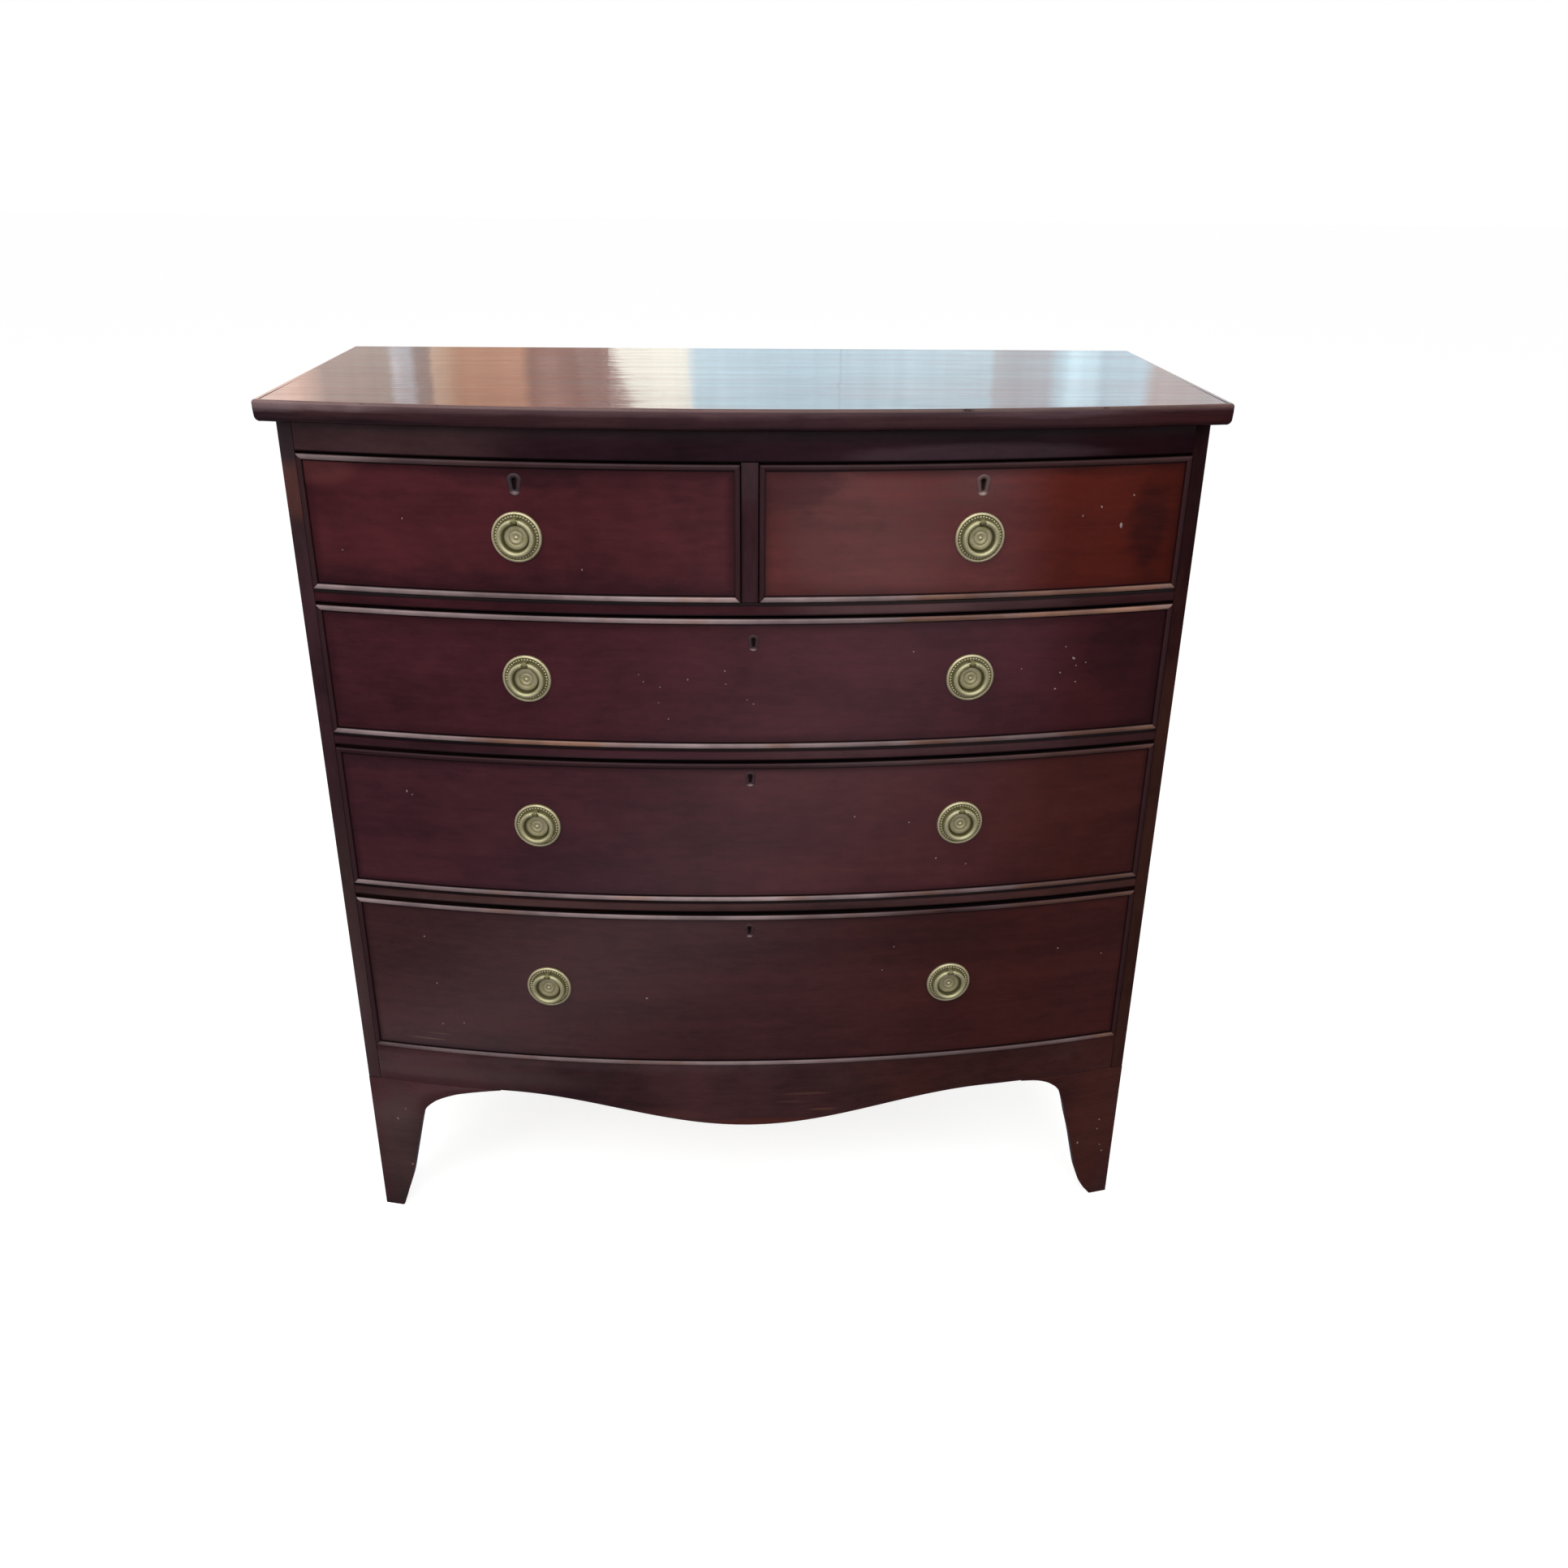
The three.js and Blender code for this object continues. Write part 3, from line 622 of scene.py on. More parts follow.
keyhole_brasses = {
    "short_left": old_brass(
        "dark_keyhole_brass", (150, 132, 130), (64, 48, 52), 0.3, 0.4, (40, 28, 33)),
    "short_right": old_brass(
        "keyhole_brass", (186, 164, 154), (112, 90, 84), 0.2, 0.4, (76, 55, 52)),
}
sunk_brass = old_brass(
    "sunk_keyhole_brass", (182, 158, 157), (72, 50, 54), 0.3, 0.5, (46, 27, 31))
lock_brass = old_brass("lock_brass", (176, 156, 104), (100, 84, 48), 0.4, 0.35)
old_iron = iron("old_iron")
# The dark inside of the keyholes: dirt and painted shade
keyhole_grime_and_shade = paint("keyhole_grime_and_shade", tone(74, 40, 44), tone(56, 30, 34))
speck_paint = paint("speck_paint", tone(164, 144, 142), tone(88, 64, 64))


# Shapes

def plain_mesh(name, points, faces=()):
    made = bpy.data.meshes.new(name)
    made.from_pydata(points, [], faces)
    return made


def marked(mesh, name, values):
    """Gives the mesh a number at each of its points."""
    made = mesh.attributes.new(name, "FLOAT", "POINT")
    made.data.foreach_set("value", values)
    return mesh


class Shape:
    """Closed shells that become one mesh. A mark goes with every point."""

    def __init__(self):
        self.points = []
        self.faces = []
        self.marks = []

    def add(self, points, faces, marks=None):
        first = len(self.points)
        self.points += [tuple(p) for p in points]
        self.faces += [tuple(first + k for k in face) for face in faces]
        self.marks += marks or [0.0] * len(points)
        return self

    def mesh(self, name, mark="wear"):
        made = plain_mesh(name, self.points, self.faces)
        if any(self.marks):
            marked(made, mark, self.marks)
        work = bmesh.new()
        work.from_mesh(made)
        bmesh.ops.recalc_face_normals(work, faces=work.faces)
        work.to_mesh(made)
        work.free()
        return made


def loft(loops, closed=False):
    """Points and faces of the skin through loops of equal length."""
    count = len(loops[0])
    points = [p for loop in loops for p in loop]
    faces = []
    for k in range(len(loops) - (0 if closed else 1)):
        near = k * count
        far = ((k + 1) % len(loops)) * count
        for i in range(count):
            j = (i + 1) % count
            faces.append((near + i, near + j, far + j, far + i))
    if not closed:
        faces.append(tuple(range(count)))
        faces.append(tuple(range((len(loops) - 1) * count, len(loops) * count)))
    return points, faces


def solid(name, loops, marks=None, mark="wear", closed=False):
    """The skin through the loops as a mesh."""
    return Shape().add(*loft(loops, closed), marks).mesh(name, mark)


def levels(outline, low, high):
    """The loops of a board with that plan outline between two heights."""
    return [[(x, y, z) for x, y in outline] for z in (low, high)]


def bowed_line(places, depth):
    """Plan points at those x, that deep behind the bowed front."""
    return [(x, front_y(x) + depth) for x in places]


def turned(profile, steps):
    """A profile of (radius, out) pairs turned about -Y, with both its ends on the axis."""
    middle = profile[1:-1]
    points = [(0.0, -profile[0][1], 0.0)]
    for radius, out in middle:
        points += [(radius * math.sin(t), -out, radius * math.cos(t)) for t in around(steps)]
    points.append((0.0, -profile[-1][1], 0.0))
    faces = []
    last = len(points) - 1
    for k in range(steps):
        j = (k + 1) % steps
        faces.append((0, 1 + k, 1 + j))
        faces.append((last, last - steps + j, last - steps + k))
        for row in range(len(middle) - 1):
            near = 1 + row * steps
            far = near + steps
            faces.append((near + k, far + k, far + j, near + j))
    return points, faces


def lathe(name, profile, steps):
    """A turned profile, given in millimetres, as a mesh."""
    profile = [(radius * MM, out * MM) for radius, out in profile]
    return Shape().add(*turned(profile, steps)).mesh(name)


def smooth_path(points, steps):
    """A curve through the points, with that many steps between each two."""
    held = [points[0], *points, points[-1]]
    path = []
    for k in range(1, len(held) - 2):
        a, b, c, d = [Vector(p) for p in held[k - 1:k + 3]]
        for share in spread(0, 1, steps)[:-1]:
            path.append(tuple(0.5 * (
                2 * b + (c - a) * share + (2 * a - 5 * b + 4 * c - d) * share**2
                + (3 * b - a - 3 * c + d) * share**3)))
    return [*path, tuple(points[-1])]


def loose(name, mesh):
    thing = bpy.data.objects.new(name, mesh)
    bpy.context.scene.collection.objects.link(thing)
    return thing


def settled(thing):
    """The mesh of an object with its modifiers made real. The object is taken away."""
    bpy.context.view_layer.update()
    graph = bpy.context.evaluated_depsgraph_get()
    made = bpy.data.meshes.new_from_object(thing.evaluated_get(graph), depsgraph=graph)
    made.name = thing.name
    thing.modifiers.clear()
    bpy.data.objects.remove(thing)
    return made


def softened(mesh, width, angle=38):
    """The mesh with its arrises rounded."""
    thing = loose(mesh.name, mesh)
    bevel = thing.modifiers.new("arris", "BEVEL")
    bevel.width = width
    bevel.segments = 2
    bevel.limit_method = "ANGLE"
    bevel.angle_limit = math.radians(angle)
    bevel.use_clamp_overlap = True
    bevel.harden_normals = False
    return settled(thing)


def carved(mesh, *cutters):
    """The mesh with the room of the cutting meshes taken out."""
    thing = loose(mesh.name, mesh)
    helpers = [loose("cutter", cutter) for cutter in cutters]
    for helper in helpers:
        hole = thing.modifiers.new("hole", "BOOLEAN")
        hole.operation = "DIFFERENCE"
        hole.solver = "EXACT"
        hole.object = helper
    made = settled(thing)
    for helper in helpers:
        bpy.data.objects.remove(helper)
    return made


def moved(mesh, x, y, z):
    mesh.transform(Matrix.Translation((x, y, z)))
    return mesh


def faced_back(mesh):
    mesh.transform(Matrix.Rotation(math.pi, 4, "Z"))
    return mesh


def set_down(mesh, x, z):
    """Moves a mesh made at the origin to its place on the bowed front."""
    turn = Matrix.Rotation(math.asin(x / BOW_RADIUS), 4, "Z")
    mesh.transform(Matrix.Translation((x, front_y(x), z)) @ turn)
    return mesh


def piece(name, mesh, material, slot, body, *nodes, sharp=32):
    """A finished piece of the chest that rides on a body and may stand for nodes."""
    mesh.materials.clear()
    mesh.materials.append(material)
    mesh.shade_smooth()
    mesh.set_sharp_from_angle(angle=math.radians(sharp))
    thing = loose(name, mesh)
    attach(thing, body)
    if nodes:
        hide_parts(*nodes)
    return thing


def two_toned(thing, material, keeps):
    """Gives the thing a second material, on every face but those that keep the first."""
    thing.data.materials.append(material)
    for face in thing.data.polygons:
        face.material_index = 0 if keeps(face) else 1


def merged_node(node):
    """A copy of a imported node's mesh, its triangles merged back into flat faces."""
    made = frame["nodes"][node].data.copy()
    work = bmesh.new()
    work.from_mesh(made)
    bmesh.ops.remove_doubles(work, verts=work.verts, dist=0.002 * MM)
    bmesh.ops.dissolve_limit(
        work, angle_limit=math.radians(0.5), verts=work.verts, edges=work.edges)
    work.to_mesh(made)
    work.free()
    return made


def joined(name, meshes):
    """One mesh from several."""
    work = bmesh.new()
    for mesh in meshes:
        work.from_mesh(mesh)
    made = bpy.data.meshes.new(name)
    work.to_mesh(made)
    work.free()
    return made


# Geometry trees

def new_tree(name, sockets):
    """A geometry tree with a mesh in and out, and the named inputs."""
    tree = bpy.data.node_groups.new(name, "GeometryNodeTree")
    tree.interface.new_socket("Geometry", in_out="INPUT", socket_type="NodeSocketGeometry")
    for label, kind in {**sockets, "Material": "Material"}.items():
        tree.interface.new_socket(label, in_out="INPUT", socket_type="NodeSocket" + kind)
    tree.interface.new_socket("Geometry", in_out="OUTPUT", socket_type="NodeSocketGeometry")
    graph = Graph(tree)
    return tree, graph, graph.node("NodeGroupInput")


def close_tree(graph, geometry, given):
    real = graph.node("GeometryNodeRealizeInstances", inputs={"Geometry": geometry})
    painted = graph.node("GeometryNodeSetMaterial", inputs={
        "Geometry": real, "Material": given.out("Material")})
    graph.node("NodeGroupOutput", inputs={"Geometry": painted})


def bowed_board_tree():
    """A board that follows the bow. Drop and Span shape its lower edge into arches."""
    floats = ("Left", "Right", "Low", "High", "Front", "Back", "Drop", "Span")
    tree, graph, given = new_tree("bowed_board", {
        **dict.fromkeys(floats, "Float"), "Stations": "Int", "Rows": "Int"})
    grid = graph.node("GeometryNodeMeshCube", inputs={
        "Size": (1.0, 1.0, 1.0), "Vertices X": given.out("Stations"), "Vertices Y": 2,
        "Vertices Z": given.out("Rows")})
    place = graph.apart(graph.node("GeometryNodeInputPosition"))
    left, right, low, high, near, far, drop, span = [given.out(label) for label in floats]
    x = left + (place + 0.5) * (right - left)
    bulge = (BOW_RADIUS**2 - x * x) ** 0.5 - (BOW_RADIUS - BOW)
    depth = near + (place.out("Y") + 0.5) * (far - near)
    share = graph.math("MINIMUM", graph.math("ABSOLUTE", x) / span, 1.0)
    low = low - drop * ((graph.math("COSINE", share * math.pi) + 1.0) * 0.5)
    z = low + (place.out("Z") + 0.5) * (high - low)
    shaped = graph.moved(grid, "Position", graph.combined(x, CORNER_Y - bulge + depth, z))
    close_tree(graph, shaped, given)
    return tree


def row_tree():
    """Copies of the given mesh along a straight line, each a little out of true."""
    tree, graph, given = new_tree("row", {
        "Count": "Int", "Start": "Vector", "Step": "Vector", "Slip": "Vector",
        "Turn": "Vector", "Seed": "Int"})
    line = graph.node("GeometryNodeMeshLine", {"mode": "OFFSET"}, {
        "Count": given.out("Count"), "Start Location": given.out("Start"),
        "Offset": given.out("Step")})

    def either_way(label, number):
        limit = given.out(label)
        lowest = graph.vector("SCALE", limit, (0.0, 0.0, 0.0), (0.0, 0.0, 0.0), -1.0)
        return graph.chance(lowest, limit, given.out("Seed") + number)

    moved_line = graph.moved(line, "Offset", either_way("Slip", 0.0))
    copies = graph.copies(moved_line, given, Rotation=either_way("Turn", 17.0))
    close_tree(graph, copies, given)
    return tree


def round_tree():
    """Copies of the given mesh round a circle that faces -Y."""
    tree, graph, given = new_tree("round", {"Count": "Int", "Radius": "Float", "Out": "Float"})
    circle = graph.node("GeometryNodeMeshCircle", inputs={
        "Vertices": given.out("Count"), "Radius": given.out("Radius")})
    place = graph.apart(graph.node("GeometryNodeInputPosition"))
    stood = graph.moved(circle, "Position", graph.combined(
        place, 0.0 - given.out("Out"), place.out("Y")))
    close_tree(graph, graph.copies(stood, given), given)
    return tree


def speck_tree():
    """A small flat speck on each point of the given mesh, as large as that point says."""
    tree, graph, given = new_tree("specks", {"Seed": "Int"})
    ball = graph.node("GeometryNodeMeshIcoSphere", inputs={"Radius": 1.0, "Subdivisions": 2})
    uneven = graph.noise(graph.node("GeometryNodeInputPosition"), 1.1, 2.0, 0.6, out="Color")
    lump = graph.moved(ball, "Offset", graph.vector("SUBTRACT", uneven, (0.5, 0.5, 0.5)))
    size = graph.node("GeometryNodeInputNamedAttribute", {"data_type": "FLOAT"}, {
        "Name": "size"}, out="Attribute")
    turn = graph.chance((0.0, 0.0, 0.0), (0.0, 2 * math.pi, 0.0), given.out("Seed"))
    copies = graph.copies(given, lump, Rotation=turn,
                          Scale=graph.combined(size, size * 0.12, size * 0.6))
    close_tree(graph, copies, given)
    return tree


bowed_board = bowed_board_tree()
row = row_tree()
round_row = round_tree()
speck_shape = speck_tree()


def grown(name, tree, mesh, **values):
    """The plain mesh that a geometry tree makes from a mesh and its named inputs."""
    thing = loose(name, mesh)
    modifier = thing.modifiers.new("shape", "NODES")
    modifier.node_group = tree
    for item in tree.interface.items_tree:
        if item.in_out == "INPUT" and item.name in values:
            modifier[item.identifier] = values[item.name]
    return settled(thing)


def bowed(name, material, left, right, low, high, front, back, rows=2, drop=0.0,
          stations=STATIONS + 1):
    return grown(name, bowed_board, bpy.data.meshes.new(name), Left=left, Right=right, Low=low,
                 High=high, Front=front, Back=back, Drop=drop, Span=ARCH_SPAN,
                 Stations=stations, Rows=rows, Material=material)


def in_row(name, mesh, material, count, start, step, slip=(0, 0, 0), turn=(0, 0, 0), seed=1):
    return grown(name, row, mesh, Count=count, Start=start, Step=step, Slip=slip, Turn=turn,
                 Seed=seed, Material=material)


def block_mesh(name, low, high, soft=0.0):
    (x0, y0, z0), (x1, y1, z1) = low, high
    made = solid(name, levels([(x0, y0), (x1, y0), (x1, y1), (x0, y1)], z0, z1))
    return softened(made, soft) if soft else made


# Top board: a soft moulded edge on the front and ends, square at the back

TOP_COLUMNS = 128
TOP_ROWS = 24
TOP_CORNER = 3 * MM
UNDER_ROUND = 6.0 * MM
OVER_ROUND = 3.5 * MM

# Nicks in the front edge of the top, as (x, radius in millimetres)
NICKS = ((0.217, 3.4), (-0.386, 1.6), (-0.31, 1.3), (0.36, 1.5), (-0.05, 1.2))


def top_plan():
    """Points round the top with the way each faces: left end, front, right end, back."""
    across = spread(TOP_CORNER - TOP_HALF, TOP_HALF - TOP_CORNER, TOP_COLUMNS)
    start = top_front_y(TOP_HALF) + TOP_CORNER
    path = [(-TOP_HALF, y) for y in spread(BACK_Y, start, TOP_ROWS)]
    path += [(x, top_front_y(x)) for x in across]
    path += [(TOP_HALF, y) for y in spread(start, BACK_Y, TOP_ROWS)]
    path += [(x, BACK_Y) for x in reversed(across)]
    plan = []
    for k, point in enumerate(path):
        before = path[k - 1]
        after = path[(k + 1) % len(path)]
        run = Vector((after[0] - before[0], after[1] - before[1])).normalized()
        plan.append((point, (run.y, -run.x)))
    return plan


def top_face(loop, first, spare):
    """A grid inside the loop, whose points count from first, with its own from spare."""
    front = TOP_ROWS + 1
    right = front + TOP_COLUMNS + 1
    back = right + TOP_ROWS + 1
    points = []
    rows = []
    for r in range(TOP_ROWS + 1):
        middle = []
        for c in range(TOP_COLUMNS + 1):
            far = back + TOP_COLUMNS - c
            if r == 0:
                middle.append(first + far)
            elif r == TOP_ROWS:
                middle.append(first + front + c)
            else:
                middle.append(spare + len(points))
                points.append(Vector(loop[far]).lerp(Vector(loop[front + c]), r / TOP_ROWS))
        rows.append([first + r, *middle, first + right + TOP_ROWS - r])
    faces = []
    for near, far in zip(rows, rows[1:]):
        for k in range(len(near) - 1):
            faces.append((near[k], near[k + 1], far[k + 1], far[k]))
    return points, faces


def top_board():
    """The slab as rounds of points, each as (how far in, height, wear), and its two faces."""
    low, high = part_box("top_board")
    quarter = spread(0, math.pi / 2, 8)
    rounds = [(UNDER_ROUND * (1 - math.sin(t)) + 0.4 * MM,
               low.z + UNDER_ROUND * (1 - math.cos(t)), 0.0) for t in quarter]
    rounds += [(0.0, low.z + 12 * MM, 0.0)]
    rounds += [(OVER_ROUND * (1 - math.cos(t)), high.z - OVER_ROUND * (1 - math.sin(t)),
                0.5 * math.sin(2 * t)) for t in quarter]
    rounds += [(OVER_ROUND + 1.5 * MM, high.z, 0.0), (OVER_ROUND + 5 * MM, high.z, 0.0)]
    plan = top_plan()
    loops = []
    worn = []
    for inset, z, wear in rounds:
        loop = []
        for (x, y), (nx, ny) in plan:
            if y > BACK_Y - 0.01 * MM:
                loop.append((x * (1 - inset / TOP_HALF), y, z))
            else:
                loop.append((x - nx * inset, y - ny * inset, z))
        loops.append(loop)
        worn += [wear] * len(loop)
    points, faces = loft(loops)
    faces = faces[:-2]
    for k in (0, len(loops) - 1):
        inner, cap = top_face(loops[k], k * len(plan), len(points))
        points += inner
        faces += cap
        worn += [0.0] * len(inner)
    mesh = Shape().add(points, faces, worn).mesh("top_slab")
    nicks = []
    for x, size in NICKS:
        nick = lathe("nick", [(size * math.sin(t), size * 0.6 * math.cos(t))
                              for t in spread(0, math.pi, 6)], 9)
        nicks.append(moved(nick, x, top_front_y(x) + 0.8 * MM, high.z))
    slab = piece("top_slab", carved(mesh, *nicks), top_wood, "front_mahogany", "carcass",
                 "top_board", sharp=50)
    two_toned(slab, edge_wood, lambda face: face.center.z > high.z - 0.14 * MM)


top_board()


# Rails and muntin: a mahogany lipping in front of a pine core, with stub tenons on the rails

def rail_pieces(node, wood):
    low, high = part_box(node)
    shoulder = INNER_HALF - JOINT
    mesh = bowed(node, wood, -shoulder, shoulder, low.z, high.z, 0.0, LIPPING, rows=3)
    piece(f"{node}_lipping", softened(mesh, RAIL_ARRIS), wood, "carcass_mahogany", "carcass",
          node)
    outline = bowed_line(spread(-shoulder, shoulder, STATIONS), LIPPING + GLUE_GAP)
    outline += [(shoulder, TENON_Y), (TENON_END, TENON_Y), (TENON_END, RAIL_BACK_Y),
                (-TENON_END, RAIL_BACK_Y), (-TENON_END, TENON_Y), (-shoulder, TENON_Y)]
    core = solid(f"{node}_core", levels(outline, low.z, high.z))
    piece(f"{node}_core", core, pine_x, "pine", "carcass")


def muntin():
    low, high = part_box("muntin")
    mesh = bowed("muntin_lipping", muntin_wood, low.x, high.x, low.z, high.z, 0.0, LIPPING,
                 stations=7)
    piece("muntin_lipping", softened(mesh, RAIL_ARRIS), muntin_wood, "carcass_mahogany",
          "carcass", "muntin")
    core = block_mesh("muntin_core", (low.x, front_y(0) + LIPPING + 0.05 * MM, low.z),
                      (high.x, RAIL_BACK_Y, high.z))
    piece("muntin_core", core, pine_z, "pine", "carcass")


for rail, wood in (("top_rail", frieze_wood), *rail_woods.items()):
    rail_pieces(rail, wood)
muntin()


# Carcass sides, dustboards and divider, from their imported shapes

frame_body = {
    node: body for body, members in frame["record"]["behaviour"]["bodies"].items()
    for node in members}


def carried(node, material, slot, soft=0.6 * MM):
    mesh = softened(merged_node(node), soft, angle=30)
    return piece(f"{node}_finished", mesh, material, slot, frame_body[node], node)


for node, stile in (("side_left", stile_left), ("side_right", stile_right)):
    side = carried(node, stile, "carcass_mahogany", CARCASS_ARRIS)
    two_toned(side, side_wood, lambda face: face.normal.y < -0.5)
carried("drawer_divider", pine_y, "pine")
for shelf in ("dustboard_upper", "dustboard_middle", "dustboard_lower", "bottom_board"):
    carried(shelf, pine_x, "pine")


# Back: upright planks, nailed along the rails

def back_planks():
    low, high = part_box("back_panel")
    width = (high.x - low.x) / BACK_PLANKS
    gap = 0.3 * MM
    face = high.y - 0.5 * MM
    plank = block_mesh("plank", (gap, low.y, low.z), (width - gap, face, high.z), 1.2 * MM)
    planks = in_row("back_planks", plank, pine_z, BACK_PLANKS, (low.x, 0, 0), (width, 0, 0))
    piece("back_planks", planks, pine_z, "pine", "carcass", "back_panel")
    head = [(0.0, -0.6), (2.1, -0.6), (2.1, 0.1), (1.3, 0.38), (0.0, 0.42)]
    nails = []
    half_rail = 7 * MM
    rails = [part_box(node)[0].z + half_rail for node in rail_woods]
    for seed, z in enumerate((low.z + 42 * MM, *rails, high.z - 16 * MM)):
        nails.append(in_row(
            "nails", faced_back(lathe("nail", head, 10)), old_iron, 2 * BACK_PLANKS,
            (low.x + width / 4, face, z), (width / 2, 0, 0), (9 * MM, 0, 3 * MM), seed=seed))
    piece("back_nails", joined("back_nails", nails), old_iron, None, "carcass")


back_planks()


def blocks_behind(name, size, soft, count, start, step, slip, seed, setback):
    """Small pine blocks in a row, each set back from the bowed front."""
    block = block_mesh(name, *size, soft)
    blocks = in_row(name, block, pine_x, count, start, step, (slip, 0, 0), seed=seed)
    for point in blocks.vertices:
        point.co.y += front_y(point.co.x) + setback
    return blocks


# Apron: it hangs lowest in the middle and rises to an arch on each side

def apron():
    low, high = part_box("apron")
    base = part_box("side_left")[0].z - JOINT
    shoulder = INNER_HALF - JOINT
    mesh = bowed("apron_board", foot_wood, -shoulder, shoulder, base, high.z, 0.0,
                 APRON_THICKNESS, rows=5, drop=APRON_DROP, stations=145)
    piece("apron_board", softened(mesh, CARCASS_ARRIS), foot_wood, "carcass_mahogany",
          "carcass", "apron")
    blocks = blocks_behind(
        "glue_blocks", ((0, 0, 0), (46 * MM, 20 * MM, 19 * MM)), 1.5 * MM, 6,
        (-0.38, 0.0, 224 * MM), (0.143, 0, 0), 6 * MM, 5, APRON_THICKNESS + 0.3 * MM)
    piece("apron_glue_blocks", blocks, pine_x, "pine", "carcass")


apron()


# Bracket feet: two brackets mitred at the corner. The curve that each is cut to is given as
# (distance from the corner, height) in millimetres.

FOOT_EDGES = {
    "front_left": [(29, 13), (34, 27), (39, 41), (44, 60), (54, 103), (64, 145), (71, 164.8),
                   (83, 177.4), (94, 184.2), (106, 189.7), (117, 193.7), (138, 198.9),
                   (159, 203.2), (172, 205.4)],
    "front_right": [(34, 13), (42, 27), (47, 40), (52, 60), (62, 103), (70, 132), (77, 160),
                    (86, 183.5), (97, 194.5), (108, 200.2), (120, 203.5), (138, 205.4)],
    "back": [(31, 13), (37, 27), (42, 41), (47, 60), (57, 112), (65, 145), (72, 162.0),
             (80, 177.0), (92, 188.5), (106, 196.5), (122, 201.8), (140, 204.6), (152, 205.4)],
}


def bracket(label, place, top):
    """Points and faces of a bracket whose inner edge runs up from the floor."""
    toe = TOE / MM
    edge = [(toe - 2.5, 0.0), (toe - 0.6, 0.7), (toe + 1.0, 3.0),
            *smooth_path(FOOT_EDGES.get(label, FOOT_EDGES["back"]), 5)]
    edge = [(distance * MM, z * MM) for distance, z in edge]
    loops = []
    for distance, low in [(0.0, 0.0), (FOOT_THICKNESS - 1 * MM, 0.0), *edge]:
        (x0, y0), (x1, y1) = place(distance)
        loops.append([(x0, y0, low), (x1, y1, low), (x1, y1, top), (x0, y0, top)])
    return loft(loops)


def foot(label, side, back):
    node = f"foot_{label}"
    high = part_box(node)[1]
    inner = HALF_WIDTH - FOOT_THICKNESS

    def across(distance):
        x = HALF_WIDTH - distance
        inside = min(x, inner)
        if back:
            return (side * x, BACK_Y), (side * inside, BACK_Y - FOOT_THICKNESS)
        return (side * x, front_y(x)), (side * inside, front_y(inside) + FOOT_THICKNESS)

    def along(distance):
        start = BACK_Y if back else CORNER_Y
        way = -1 if back else 1
        inside = max(distance, FOOT_THICKNESS)
        return (side * HALF_WIDTH, start + way * distance), (side * inner, start + way * inside)

    shape = Shape().add(*bracket(label, across, high.z)).add(*bracket("back", along, high.z))
    piece(f"{node}_brackets", softened(shape.mesh(node), CARCASS_ARRIS, angle=50), foot_wood,
          "carcass_mahogany", "carcass", node, sharp=40)
    y = BACK_Y - 41 * MM if back else CORNER_Y + 24 * MM
    x = side * (inner - 10 * MM)
    half = 9 * MM
    block = block_mesh("foot_block", (x - half, y, 96 * MM), (x + half, y + 17 * MM, 204 * MM),
                       1.5 * MM)
    piece(f"{node}_glue_block", block, pine_z, "pine", "carcass")


for label, side, back in (("front_left", -1, False), ("front_right", 1, False),
                          ("back_left", -1, True), ("back_right", 1, True)):
    foot(label, side, back)


# Drawers

# How pale the top and the bottom bead of each drawer is along its nose, as wear and a painted
# highlight together, from its left end to its right
BEAD_WEAR_AND_HIGHLIGHT = {
    "short_left": ((0.54, 0.12, 0.05, 0.04, 0.05), (0.8, 0.62, 0.54, 0.74, 0.98)),
    "short_right": ((0.0, 0.04, 0.03, 0.04, 0.08), (0.8, 0.62, 0.5, 0.5, 0.68)),
    "upper": ((0.76, 0.64, 0.74, 0.5, 0.9), (0.62, 0.7, 0.86, 0.34, 0.4)),
    "middle": ((0.0, 0.02, 0.02, 0.12, 0.18), (0.56, 0.54, 1.05, 0.44, 0.34)),
    "lower": ((0.7, 0.6, 0.76, 0.06, 0.38), (0.24, 0.48, 0.64, 0.28, 0.44)),
}
# The upright beads get almost none of that wear and painted highlight
SIDE_WEAR_AND_HIGHLIGHT = 0.02


def bead_section():
    """A cockbead's section as (distance in from the drawer's edge, depth) pairs."""
    half = BEAD / 2
    root = BEAD_ROOT - 0.1 * MM
    nose = [(half - half * math.cos(t), -BEAD_STANDOUT + 2.2 * MM * (1 - math.sin(t)**0.75))
            for t in spread(0, math.pi, 12)]
    return [(0.0, root), *nose, (BEAD, root)]


def bead_marks_at(section, wear):
    """Marks for one section of a bead: wear and a painted highlight on the nose, and dirt and
    painted shade where it meets the front.
    """
    last = len(section) - 1
    ends = [min(k, last - k) for k in range(len(section))]
    return [-1.0 if off < 2 else wear * min((off - 1) / 3, 1) for off in ends]


def along_row(values, share):
    """The value at a share of the way along a row of values."""
    place = share * (len(values) - 1)
    k = min(int(place), len(values) - 2)
    return values[k] + (values[k + 1] - values[k]) * (place - k)


